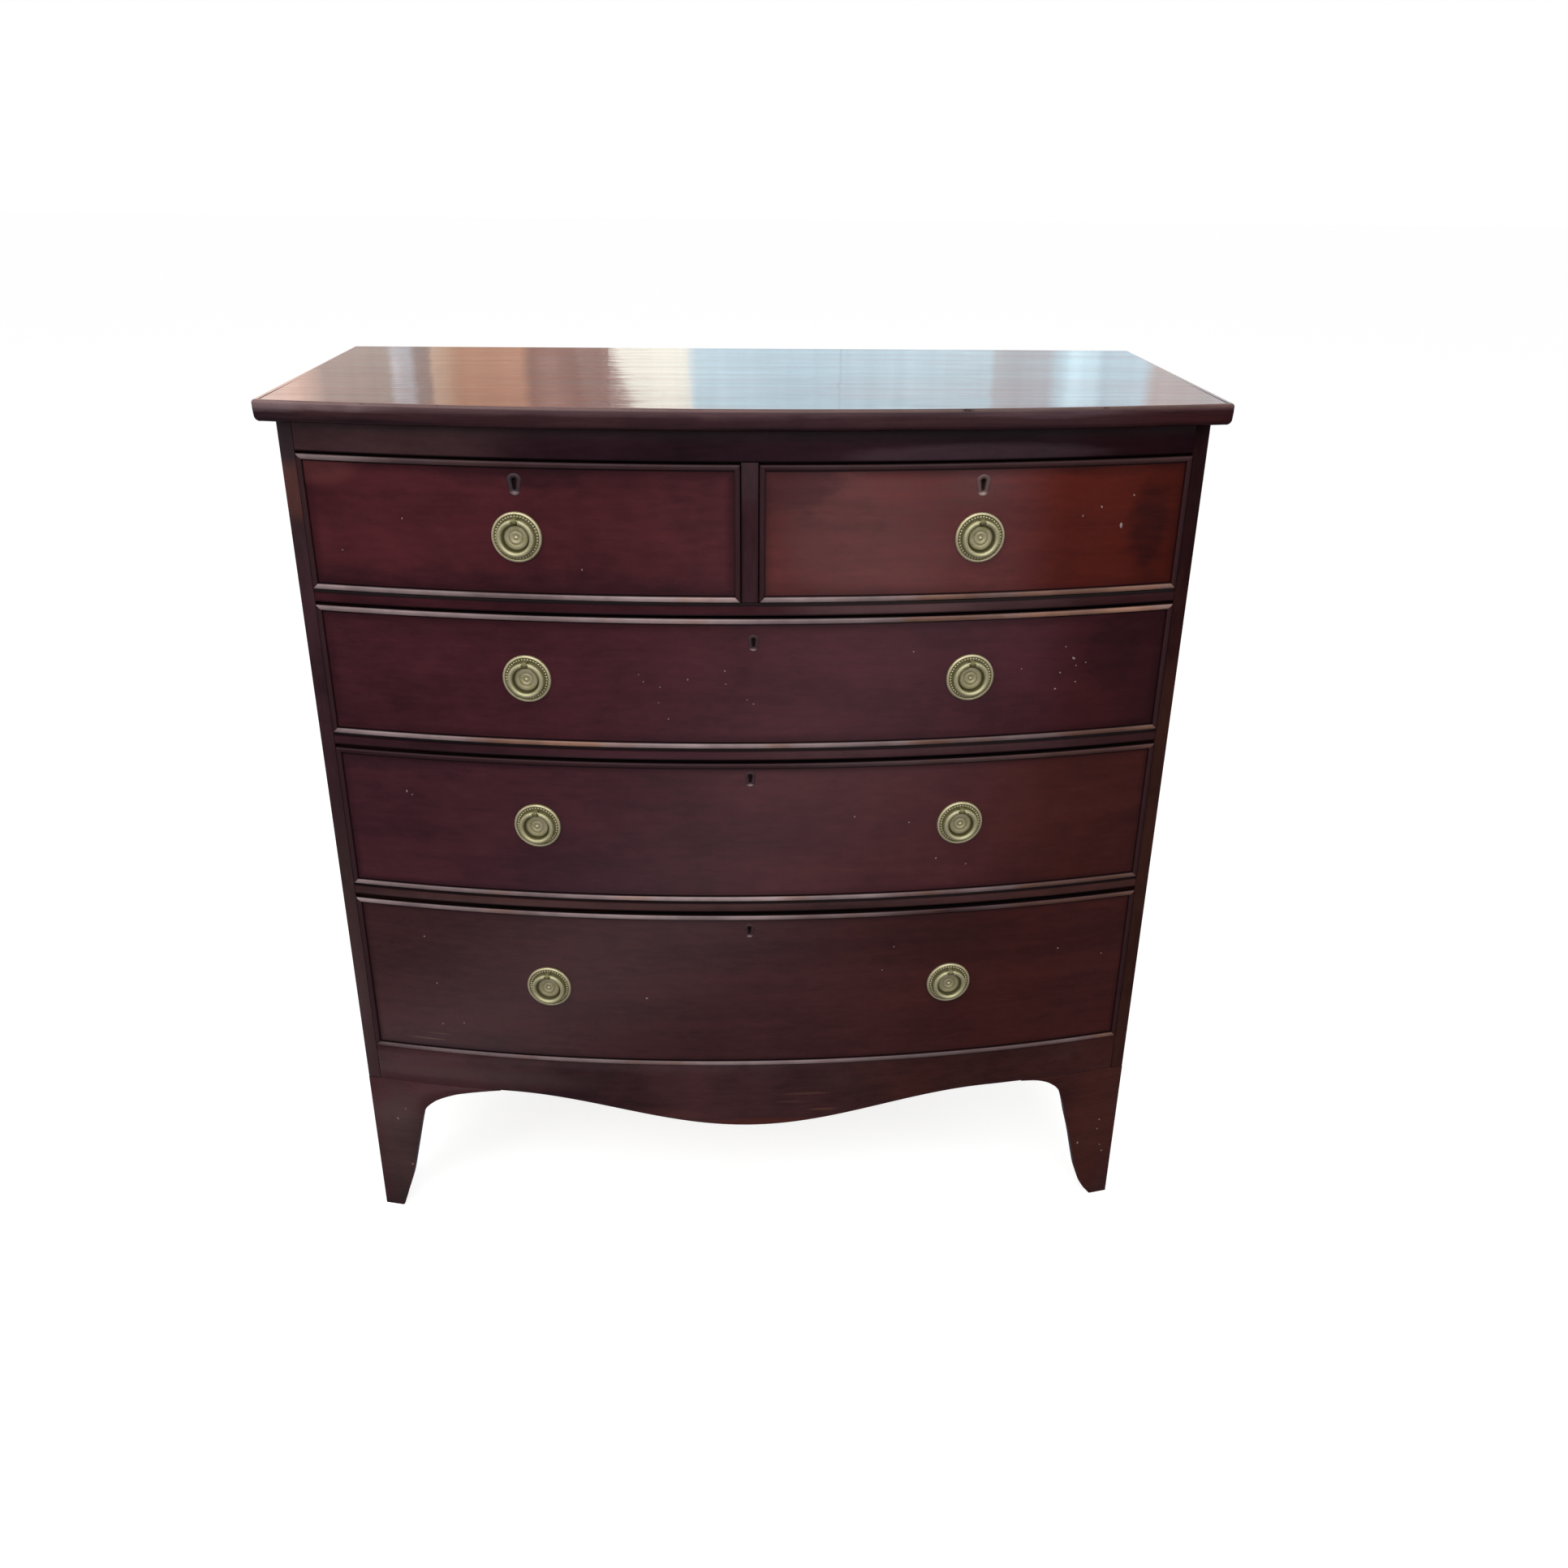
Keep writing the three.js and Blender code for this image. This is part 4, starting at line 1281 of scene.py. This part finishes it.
def bead_frame(label, left, right, low, high):
    """Four strips of cockbead, mitred at the corners of the drawer front."""
    section = bead_section()
    shape = Shape()
    top_wear_and_highlight, bottom_wear_and_highlight = BEAD_WEAR_AND_HIGHLIGHT[label]
    for height, way, wear in ((high, -1, top_wear_and_highlight), (low, 1, bottom_wear_and_highlight)):
        loops = []
        marks = []
        for share in spread(0, 1, STATIONS):
            loop = []
            for inward, depth in section:
                x = (left + inward) * (1 - share) + (right - inward) * share
                loop.append((x, front_y(x) + depth, height + way * inward))
            loops.append(loop)
            marks += bead_marks_at(section, along_row(wear, share))
        shape.add(*loft(loops), marks)
    for edge, way in ((left, 1), (right, -1)):
        loops = []
        for share in spread(0, 1, 12):
            loop = []
            for inward, depth in section:
                x = edge + way * inward
                z = (low + inward) * (1 - share) + (high - inward) * share
                loop.append((x, front_y(x) + depth, z))
            loops.append(loop)
        shape.add(*loft(loops), bead_marks_at(section, SIDE_WEAR_AND_HIGHLIGHT) * len(loops))
    return shape.mesh(f"drawer_{label}_cockbeads")


# A keyhole's upper and lower radius and the heights of their middles, in millimetres, each
# at the outer edge of its escutcheon and at its opening
KEYHOLE_ARCS = ((8.3, 3.0), (6.1, 1.8), (4.0, 4.3), (-6.0, -4.6))


def keyhole_outline(share, steps=20):
    """A keyhole's outline: 0 is the outer edge of its escutcheon and 1 the opening."""
    upper, lower, top, base = [
        (outer * (1 - share) + inner * share) * MM for outer, inner in KEYHOLE_ARCS]
    lean = math.asin((upper - lower) / (top - base))
    loop = [(upper * math.cos(t), top + upper * math.sin(t))
            for t in spread(lean, math.pi - lean, steps)]
    loop += [(lower * math.cos(t), base + lower * math.sin(t))
             for t in spread(math.pi - lean, 2 * math.pi + lean, steps)]
    return loop


def keyhole_plug(name, scale, share, x, z, *depths):
    """A plug with a keyhole's outline between two depths in millimetres, set in the front."""
    loops = [[(px * scale, depth * MM, pz * scale) for px, pz in keyhole_outline(share)]
             for depth in depths]
    return set_down(solid(name, loops), x, z)


def escutcheon(name, scale, x, z, label, body):
    """A thread of brass let in round a keyhole, with a rounded face that is painted dark as shade
    above, and a painted highlight on its foot.
    """
    highlight_from = 6.5
    highlight_over = 2.5
    rows = [(0.0, -1.5, 0.0), (0.0, 0.1, 0.4), (0.12, 0.62, 0.1), (0.3, 0.95, 0.0),
            (0.55, 1.0, 0.0), (0.8, 0.72, 0.2), (0.95, 0.2, 0.7), (1.0, -0.4, 1.0),
            (1.0, -8.4, 1.0), (0.94, -8.4, 1.0), (0.94, -1.5, 1.0)]
    loops = []
    marks = []
    for share, out, hollow_and_shade in rows:
        outline = keyhole_outline(share)
        loops.append([(px * scale, -out * MM, pz * scale) for px, pz in outline])
        for px, pz in outline:
            # All but the foot is marked dark as painted shade, and the foot is left bright as a
            # painted highlight
            bright = min(max((-pz / MM - highlight_from) / highlight_over, 0.0), 1.0)
            marks.append(max(hollow_and_shade, 1.0 - bright))
    mesh = set_down(solid(name, loops, marks, "hollow_and_shade", closed=True), x, z)
    piece(name, mesh, keyhole_brasses.get(label, sunk_brass), "brass", body, sharp=60)
    # A dark plug in the keyhole stands for its dark inside: dirt and painted shade
    blind = keyhole_plug(f"{name}_grime", scale, 1.0, x, z, 7.6, 8.4)
    piece(f"{name}_grime", blind, keyhole_grime_and_shade, None, body)


def lock(body, x, high_z):
    """A brass lock let into the back of the front, with its screws."""
    half = 31 * MM
    plate = 1.2 * MM
    deep = 9 * MM
    case = block_mesh("lock_case", (-half, 0, -42 * MM), (half, plate, -0.3 * MM), 0.3 * MM)
    edge = block_mesh("selvedge", (-half, -deep, -0.9 * MM), (half, plate, 0), 0.2 * MM)
    box = block_mesh("lock_box", (-20 * MM, -deep, -36 * MM), (20 * MM, 0.3 * MM, -3 * MM))
    back = moved(joined(f"{body}_lock", [case, edge, box]), 0, FRONT_THICKNESS - 0.4 * MM, 0)
    piece(f"{body}_lock", set_down(back, x, high_z + 0.05 * MM), lock_brass, "brass", body)
    head = [(0.0, -0.8), (2.6, -0.8), (2.6, 0.25), (1.6, 0.55), (0.0, 0.6)]
    reach = 26 * MM
    screws = []
    for seed, z in enumerate((-8 * MM, -37 * MM)):
        slot = block_mesh("slot", (-3 * MM, -1.2 * MM, -0.4 * MM), (3 * MM, -0.3 * MM, 0.4 * MM))
        screw = faced_back(carved(lathe("screw", head, 14), slot))
        screws.append(in_row("screws", screw, old_iron, 2, (-reach, 0, z), (2 * reach, 0, 0),
                             turn=(0, 1.2, 0), seed=seed + len(body)))
    heads = moved(joined(f"{body}_lock_screws", screws), 0, FRONT_THICKNESS + 0.8 * MM, 0)
    piece(f"{body}_lock_screws", set_down(heads, x, high_z), old_iron, None, body)


def drawer_pins(name, edge, way, low, high, count):
    """The dovetail pins of a drawer front, seen on the outside of the drawer's side."""
    pitch = (high - low) / count
    start = front_y(edge) + LAP + JOINT
    end = front_y(edge) + FRONT_THICKNESS
    slim = 1.2 * MM
    wide = 4.6 * MM
    loops = [[(x, start, -slim), (x, end, -wide), (x, end, wide), (x, start, slim)]
             for x in (edge, edge + way * LINING)]
    return in_row(name, solid(name, loops), core_wood, count - 1, (0, 0, low + pitch),
                  (0, 0, pitch))


def front_veneer(body, wood, low, high, stations, keyhole):
    face = bowed(f"{body}_veneer", wood, low.x + BEAD, high.x - BEAD, low.z + BEAD,
                 high.z - BEAD, 0.0, BEAD_ROOT, rows=5, stations=stations + 1)
    piece(f"{body}_veneer", carved(face, keyhole), wood, "front_mahogany", body,
          f"{body}_front")


def front_core(body, low, high, stations, keyhole):
    """The wood behind the veneer, lapped over the sides and grooved for the bottom."""
    left = low.x
    right = high.x
    lining = LINING + JOINT
    outline = bowed_line(spread(left, right, stations), BEAD_ROOT + GLUE_GAP)
    outline += bowed_line((right, right - lining), LAP)
    outline += bowed_line(spread(right - lining, left + lining, stations), FRONT_THICKNESS)
    outline += bowed_line((left + lining, left), LAP)
    # The core is darkest at its front edges, which show in the gaps round the drawer: dirt and
    # painted shadow
    grime = ([1.0] * (stations + 1) + [0.4] * (len(outline) - stations - 1)) * 2
    core = solid(f"{body}_core", levels(outline, low.z, high.z), grime, "grime")
    groove_low = low.z + BOTTOM_RISE - JOINT
    overrun = 2 * MM
    groove = bowed(
        "groove", core_wood, left + lining - overrun, right - lining + overrun, groove_low,
        groove_low + BOTTOM_THICKNESS + 2 * JOINT, FRONT_THICKNESS - GROOVE - JOINT,
        FRONT_THICKNESS + overrun)
    piece(f"{body}_core", carved(core, groove, keyhole), core_wood, "carcass_mahogany", body)


def drawer_box(body, low, high):
    """The drawer's sides with the dovetail pins in them, its back and its bottom."""
    count = max(3, round((high.z - low.z) / DOVETAIL_PITCH))
    for side, edge, way in (("side_left", low.x, 1), ("side_right", high.x, -1)):
        node = f"{body}_{side}"
        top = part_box(node)[1].z
        mesh = carved(merged_node(node), drawer_pins("pins", edge, way, low.z, top, count))
        piece(f"{node}_lining", softened(mesh, 0.5 * MM, angle=30), pine_y, "pine", body, node)
        pins = drawer_pins(f"{node}_pins", edge, way, low.z, top, count)
        piece(f"{node}_pins", pins, core_wood, "carcass_mahogany", body)
    carried(f"{body}_back", pine_x, "pine", 0.7 * MM)
    carried(f"{body}_bottom", pine_y, "pine", 0.5 * MM)


def drawer(label):
    body = f"drawer_{label}"
    low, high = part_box(f"{body}_front")
    x, z, scale = KEYHOLES[label]
    stations = STATIONS if high.x - low.x > HALF_WIDTH else STATIONS // 2
    hole_share = 0.94
    hole = (hole_share, x, z, -3, 16)
    front_veneer(body, fronts[label], low, high, stations, keyhole_plug("hole", scale, *hole))
    front_core(body, low, high, stations, keyhole_plug("hole", scale, *hole))
    beads = bead_frame(label, low.x, high.x, low.z, high.z)
    piece(f"{body}_cockbeads", beads, bead_wood, "front_mahogany", body, sharp=60)
    escutcheon(f"{body}_escutcheon", scale, x, z, label, body)
    lock(body, x, high.z)
    drawer_box(body, low, high)


for label in KEYHOLES:
    drawer(label)


def drawer_stops():
    """Two small blocks behind each front, which the closed drawer rests against."""
    stops = []
    for seed, node in enumerate(("rail_upper", "rail_middle", "rail_lower", "bottom_board")):
        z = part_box(node)[1].z
        stops.append(blocks_behind(
            "stops", ((-20 * MM, 0, 0), (20 * MM, 9 * MM, 5 * MM)), 0.8 * MM, 2,
            (-0.34, 0, z + 0.05 * MM), (0.68, 0, 0), 8 * MM, seed + 3,
            FRONT_THICKNESS + 0.6 * MM))
    piece("drawer_stops", joined("drawer_stops", stops), pine_x, "pine", "carcass")


drawer_stops()


# Ring pulls: the plate's profile as (radius, out), and how dark it is, as (radius, mark), with
# both in millimetres:
# patina in its hollows, and painted shade as well in the trough round the rosette, inside the ring

PLATE_PROFILE = [
    (0.0, 5.0), (0.9, 4.9), (1.5, 4.4), (2.2, 3.95), (3.0, 4.0), (4.2, 4.4), (5.6, 4.6),
    (6.5, 4.4), (7.1, 4.15), (7.8, 4.25), (9.2, 4.55), (11.0, 4.5), (12.3, 4.15), (13.0, 3.5),
    (13.4, 2.5), (13.8, 1.8), (14.8, 1.6), (18.0, 1.6), (20.2, 1.65), (20.7, 1.9),
    (21.1, 1.9), (22.1, 1.6), (23.1, 1.9), (23.7, 2.7), (24.5, 3.15), (25.3, 3.1),
    (26.0, 2.65), (26.5, 1.9), (26.7, 1.0)]
PLATE_HOLLOWS = ((0.0, 0.0), (1.2, 0.0), (2.2, 0.55), (3.2, 0.25), (5.0, 0.2), (6.4, 0.3),
                 (7.2, 0.6), (8.0, 0.3), (10.5, 0.25), (12.4, 0.45), (13.4, 1.0),
                 (15.0, 1.0), (18.0, 0.6), (20.6, 0.8), (23.2, 0.8), (24.0, 0.1),
                 (25.0, 0.0), (26.0, 0.0), (26.7, 0.5))
PLATE_STEPS = 72


def hollow_at(radius):
    for (near, low), (far, high) in zip(PLATE_HOLLOWS, PLATE_HOLLOWS[1:]):
        if near <= radius <= far:
            return low + (high - low) * (radius - near) / (far - near)
    return 0.6


def pin_bar(radius, half, steps):
    """The loops of a round bar along the pin that the ring swings on."""
    return [[(x, -RING_STANDOFF + radius * math.sin(t), PIN_HEIGHT + radius * math.cos(t))
             for t in around(steps)] for x in (-half, half)]


def pull_plate():
    """A turned plate with its stud and nut, and a lug near its top that holds the ring."""
    face = [(max(r, 0.0), out) for r, out in smooth_path(PLATE_PROFILE, 3)]
    back = [(26.7, 0.3), (2.5, 0.3), (2.5, -24.8), (0.0, -25.0)]
    profile = [(r * MM, out * MM) for r, out in face + back]
    marks = [hollow_at(0.0)]
    for radius, out in profile[1:-1]:
        marks += [hollow_at(radius / MM)] * PLATE_STEPS
    marks += [0.5]
    plate = Shape().add(*turned(profile, PLATE_STEPS), marks).mesh("plate", "hollow_and_shade")

    reach = PIN_RADIUS + 2.0 * MM
    section = [(-RING_STANDOFF + reach * math.sin(t), PIN_HEIGHT - reach * math.cos(t))
               for t in spread(math.pi, 2 * math.pi, 14)]
    outline = [(-1.2 * MM, PIN_HEIGHT + reach), *section, (-1.2 * MM, PIN_HEIGHT - reach)]
    loops = [[(x, y, z) for y, z in outline] for x in (-2.5 * MM, 2.5 * MM)]
    # The lug is marked dark all over, as painted shade between the ring's ends
    lug = solid("lug", loops, [0.8] * 2 * len(outline), "hollow_and_shade")
    bore = solid("bore", pin_bar(PIN_RADIUS + 0.25 * MM, 4 * MM, 20))
    lug = carved(softened(lug, 0.5 * MM), bore)
    nut = [(0.0, -20.3), (4.2, -20.3), (4.6, -20.9), (4.6, -23.4), (4.2, -24.0), (0.0, -24.0)]
    return joined("pull_plate", [plate, lug, lathe("nut", nut, 6)])


def pull_beading():
    """A round of small beads inside the rim of the plate."""
    dot = [(1.15 * math.sin(t), 1.15 * math.cos(t) * 0.8) for t in spread(0, math.pi, 6)]
    return grown("pull_beading", round_row, lathe("dot", dot, 8), Count=43, Radius=22.0 * MM,
                 Out=1.9 * MM, Material=plate_brass)


def pull_ring():
    """A ring, open at the top, where a pin joins its rounded ends."""
    opening = math.asin(2.8 * MM / (RING_RADIUS - RING_SECTION))
    ends = [(0.0, 0.35), (0.25, 0.75), (0.6, 0.95), (1.0, 1.0)]
    turns = [(opening + 1.2 * MM / RING_RADIUS * share, size) for share, size in ends]
    turns += [(t, 1.0) for t in spread(turns[-1][0], 2 * math.pi - turns[-1][0], 96)[1:-1]]
    turns += [(2 * math.pi - t, size) for t, size in reversed(turns[:4])]
    loops = []
    for turn, size in turns:
        out = Vector((math.sin(turn), 0.0, math.cos(turn)))
        centre = out * RING_RADIUS + Vector((0.0, -RING_STANDOFF, 0.0))
        loops.append([centre + out * (RING_SECTION * size * math.cos(a))
                      + Vector((0.0, RING_SECTION * size * math.sin(a), 0.0))
                      for a in around(20)])
    shape = Shape().add(*loft(loops)).add(*loft(pin_bar(PIN_RADIUS, 4.2 * MM, 16)))
    return shape.mesh("pull_ring")


def pulls():
    plate = pull_plate()
    beading = pull_beading()
    ring = pull_ring()
    for label in PULLS:
        node = f"pull_{label}_plate"
        low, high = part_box(node)
        x = -PULL_OFFSET if label.endswith("left") else PULL_OFFSET
        z = (low.z + high.z) / 2
        body = frame_body[node]
        piece(f"{node}_turned", set_down(plate.copy(), x, z), plate_brass, "brass", body,
              node, sharp=50)
        piece(f"pull_{label}_beading", set_down(beading.copy(), x, z), plate_brass, "brass",
              body, sharp=70)
        piece(f"pull_{label}_ring_cast", set_down(ring.copy(), x, z), ring_brass, "brass",
              frame_body[f"pull_{label}_ring"], f"pull_{label}_ring", sharp=60)


pulls()


# Specks of old paint, as (x, z, half width) in millimetres

SPECK_SCALE = 1.35
SPECKS = {
    "drawer_short_left": [(-175, 883, 0.8), (-430, 894, 0.7), (-361, 931, 0.8)],
    "drawer_short_right": [(396, 923, 2.2), (372, 944, 1.2), (407, 955, 1.0), (352, 935, 0.9)],
    "drawer_upper": [
        (358, 776, 1.7), (340, 741, 1.1), (344, 760, 1.0), (-67, 763, 0.9), (177, 792, 0.8),
        (-89, 717, 0.7), (363, 748, 0.9), (4, 735, 0.8), (-115, 760, 0.7), (-120, 768, 0.6),
        (362, 767, 0.8), (-27, 773, 0.8), (348, 790, 0.7), (373, 770, 0.8), (-26, 758, 0.6),
        (-3, 740, 0.6), (-99, 736, 0.6), (-97, 754, 0.6), (299, 767, 0.7)],
    "drawer_middle": [
        (-390, 616, 1.2), (216, 538, 1.0), (119, 596, 0.9), (182, 586, 0.8), (252, 528, 0.8),
        (-384, 612, 0.8)],
    "drawer_lower": [
        (-124, 354, 1.3), (-389, 424, 1.1), (377, 400, 1.0), (-380, 359, 0.9), (-378, 300, 0.9),
        (-351, 304, 0.8), (172, 421, 0.8), (435, 385, 0.8), (159, 389, 0.7)],
    "carcass": [
        (-453, 144, 1.5), (-441, 72, 1.4), (-441, 161, 1.0), (435, 91, 1.5), (471, 71, 1.3),
        (467, 82, 1.0), (462, 124, 1.2), (461, 109, 0.9)],
}


def specks():
    for seed, (body, places) in enumerate(SPECKS.items()):
        name = f"{body}_specks"
        mesh = plain_mesh(name, [(x * MM, front_y(x * MM), z * MM) for x, z, size in places])
        marked(mesh, "size", [SPECK_SCALE * size * MM for x, z, size in places])
        mesh = grown(name, speck_shape, mesh, Seed=seed, Material=speck_paint)
        piece(name, mesh, speck_paint, None, body)


specks()


# Studio: floor, the room that the polish mirrors, lamps and camera

def lit_floor():
    """A pale floor. The polish mirrors it as a dim floor with a band of window light."""
    material, graph, place = new_material("pale_floor")
    rays = graph.node("ShaderNodeLightPath", out="Is Camera Ray")
    place = graph.apart(place)
    ahead = graph.math("MAXIMUM", 0.0 - place.out("Y"), 0.3)
    off = (place - (0.95 * ahead ** 0.75 - 1.2)) / (ahead * 0.42)
    band = graph.falling(off * off)
    sheen = graph.emission(graph.combined(0.1 + 0.5 * band, 0.09 + 0.42 * band,
                                          0.13 + 0.46 * band))
    pale = graph.node("ShaderNodeAddShader", inputs={
        0: graph.matt((0.5, 0.5, 0.5, 1.0)), 1: graph.emission((0.79, 0.79, 0.79, 1.0))})
    seen = graph.node("ShaderNodeMixShader", inputs={
        "Fac": rays, 1: graph.matt((0.42, 0.42, 0.43, 1.0)), 2: pale})
    graph.output(graph.node("ShaderNodeMixShader", inputs={
        "Fac": rays.out("Is Glossy Ray"), 1: seen, 2: sheen}))
    side = 30.0
    corners = [(-side, -side, 0), (side, -side, 0), (side, side, 0), (-side, side, 0)]
    mesh = plain_mesh("floor", corners, [(0, 1, 2, 3)])
    mesh.materials.append(material)
    loose("floor", mesh)


# What the top mirrors, as (x, tone in linear light) from left to right, and glints on it,
# as (x, z, half width, half height, gain)
ROOM_TONES = [
    (-1.9, (1.0, 0.9, 0.85)), (-1.38, (1.05, 0.8, 0.7)), (-1.3, (0.98, 0.72, 0.62)),
    (-1.22, (0.52, 0.44, 0.4)), (-1.03, (0.47, 0.41, 0.37)), (-1.01, (0.59, 0.58, 0.6)),
    (-0.965, (0.57, 0.57, 0.6)), (-0.945, (0.38, 0.33, 0.31)), (-0.91, (0.38, 0.31, 0.28)),
    (-0.895, (0.7, 0.52, 0.41)), (-0.85, (0.61, 0.42, 0.31)), (-0.82, (0.56, 0.34, 0.24)),
    (-0.64, (0.57, 0.34, 0.25)), (-0.61, (0.35, 0.23, 0.2)), (-0.38, (0.34, 0.23, 0.21)),
    (-0.34, (0.44, 0.33, 0.3)), (-0.32, (1.18, 1.16, 1.03)), (-0.17, (1.2, 1.22, 1.1)),
    (-0.12, (0.69, 0.92, 1.03)), (0.2, (0.65, 0.86, 0.97)), (0.303, (0.65, 0.84, 0.94)),
    (0.307, (0.52, 0.69, 0.77)), (0.312, (0.66, 0.85, 0.95)), (0.755, (0.67, 0.84, 0.93)),
    (0.775, (0.58, 0.63, 0.67)), (0.93, (0.56, 0.62, 0.67)), (0.98, (0.72, 0.95, 1.06)),
    (1.0, (0.83, 1.09, 1.2)), (1.07, (0.76, 0.99, 1.1)), (1.1, (0.63, 0.81, 0.91)),
    (1.22, (0.65, 0.83, 0.93)), (1.26, (0.64, 0.6, 0.59)), (1.5, (0.62, 0.62, 0.64)),
    (1.9, (0.66, 0.66, 0.68))]
ROOM_GAIN = 1.4
ROOM_Y = 2.6

# The left edge of the bright window leans, about this height
WINDOW_LEAN = 0.4
LEAN_MIDDLE = 1.46
GLINTS = ((-0.56, 1.393, 0.035, 0.018, 0.7), (-0.55, 1.506, 0.045, 0.022, 0.7),
          (-0.68, 1.4, 0.04, 0.012, 0.3), (-1.007, 1.412, 0.014, 0.012, 0.9))


def mirrored_room():
    """A bright wall behind the chest that only its polish mirrors."""
    points = []
    faces = []
    tones = []
    for k, (x, colour) in enumerate(ROOM_TONES):
        lean = WINDOW_LEAN if -0.35 < x < -0.3 else 0.0
        points += [(x + lean * (z - LEAN_MIDDLE), ROOM_Y, z) for z in (1.0, 2.0)]
        tones += [*[ROOM_GAIN * part for part in colour], 1.0] * 2
        if k:
            faces.append((2 * k - 2, 2 * k, 2 * k + 1, 2 * k - 1))
    mesh = plain_mesh("mirrored_room", points, faces)
    mesh.attributes.new("tone", "FLOAT_COLOR", "POINT").data.foreach_set("color", tones)
    material, graph, place = new_material("mirrored_room")
    folds = graph.noise(graph.vector("MULTIPLY", place, (16.0, 0.0, 1.4)), 1.0, 4.0, 0.6)
    bars = graph.noise(graph.vector("MULTIPLY", place, (3.0, 0.0, 11.0)), 1.0, 3.0, 0.6)
    parts = graph.apart(place)
    shade = 0.66 + 0.34 * folds + 0.34 * bars
    for *oval, gain in GLINTS:
        shade = shade + graph.falling(graph.oval(parts, *oval)) * gain
    graph.output(graph.emission(graph.shaded(graph.mark("tone", "Color"), shade)))
    mesh.materials.append(material)
    wall = loose("mirrored_room", mesh)
    wall.visible_camera = False
    wall.visible_diffuse = False
    wall.visible_shadow = False
    wall.visible_transmission = False


def sky():
    """White where the camera or the polish sees it, and a softer light for the rest."""
    world = bpy.data.worlds.new("studio")
    world.use_nodes = True
    graph = Graph(world.node_tree)
    rays = graph.node("ShaderNodeLightPath", out="Is Camera Ray")
    white = graph.math("MAXIMUM", rays, rays.out("Is Glossy Ray"))
    graph.output(graph.node("ShaderNodeBackground", inputs={
        "Color": (1.0, 1.0, 1.0, 1.0), "Strength": 0.4 + white * 0.6}), "World")
    bpy.context.scene.world = world


def lamp(name, place, aim, width, height, power, mirrored):
    light = bpy.data.lights.new(name, "AREA")
    light.shape = "RECTANGLE"
    light.size = width
    light.size_y = height
    light.energy = power
    thing = loose(name, light)
    thing.location = place
    way = Vector(aim) - Vector(place)
    thing.rotation_euler = way.to_track_quat("-Z", "Y").to_euler()
    thing.visible_camera = False
    thing.visible_glossy = mirrored


def camera():
    """The camera stands and looks as the photograph was taken."""
    lens = bpy.data.cameras.new("camera")
    lens.lens = 31.36
    lens.sensor_width = 36.0
    lens.sensor_fit = "HORIZONTAL"
    lens.shift_x = 0.0006
    lens.clip_start = 0.05
    thing = loose("camera", lens)
    place = (-0.0184, -1.608, 1.2787)
    yaw = 0.040
    pitch = 0.432
    roll = -0.011
    turn = (Matrix.Rotation(-yaw, 4, "Z") @ Matrix.Rotation(math.pi / 2 - pitch, 4, "X")
            @ Matrix.Rotation(-roll, 4, "Z"))
    thing.matrix_world = Matrix.Translation(place) @ turn
    bpy.context.scene.camera = thing


lit_floor()
mirrored_room()
sky()
lamp("overhead", (-0.3, -2.0, 3.0), (0.0, -0.3, 0.6), 4.0, 2.6, 90, True)
lamp("from_left", (-2.6, -2.2, 1.7), (0.0, 0.0, 0.5), 1.4, 1.8, 22, False)
lamp("from_right", (2.8, -1.6, 1.5), (0.0, 0.0, 0.5), 1.4, 1.8, 12, False)
camera()
bpy.context.scene.view_settings.view_transform = "Standard"
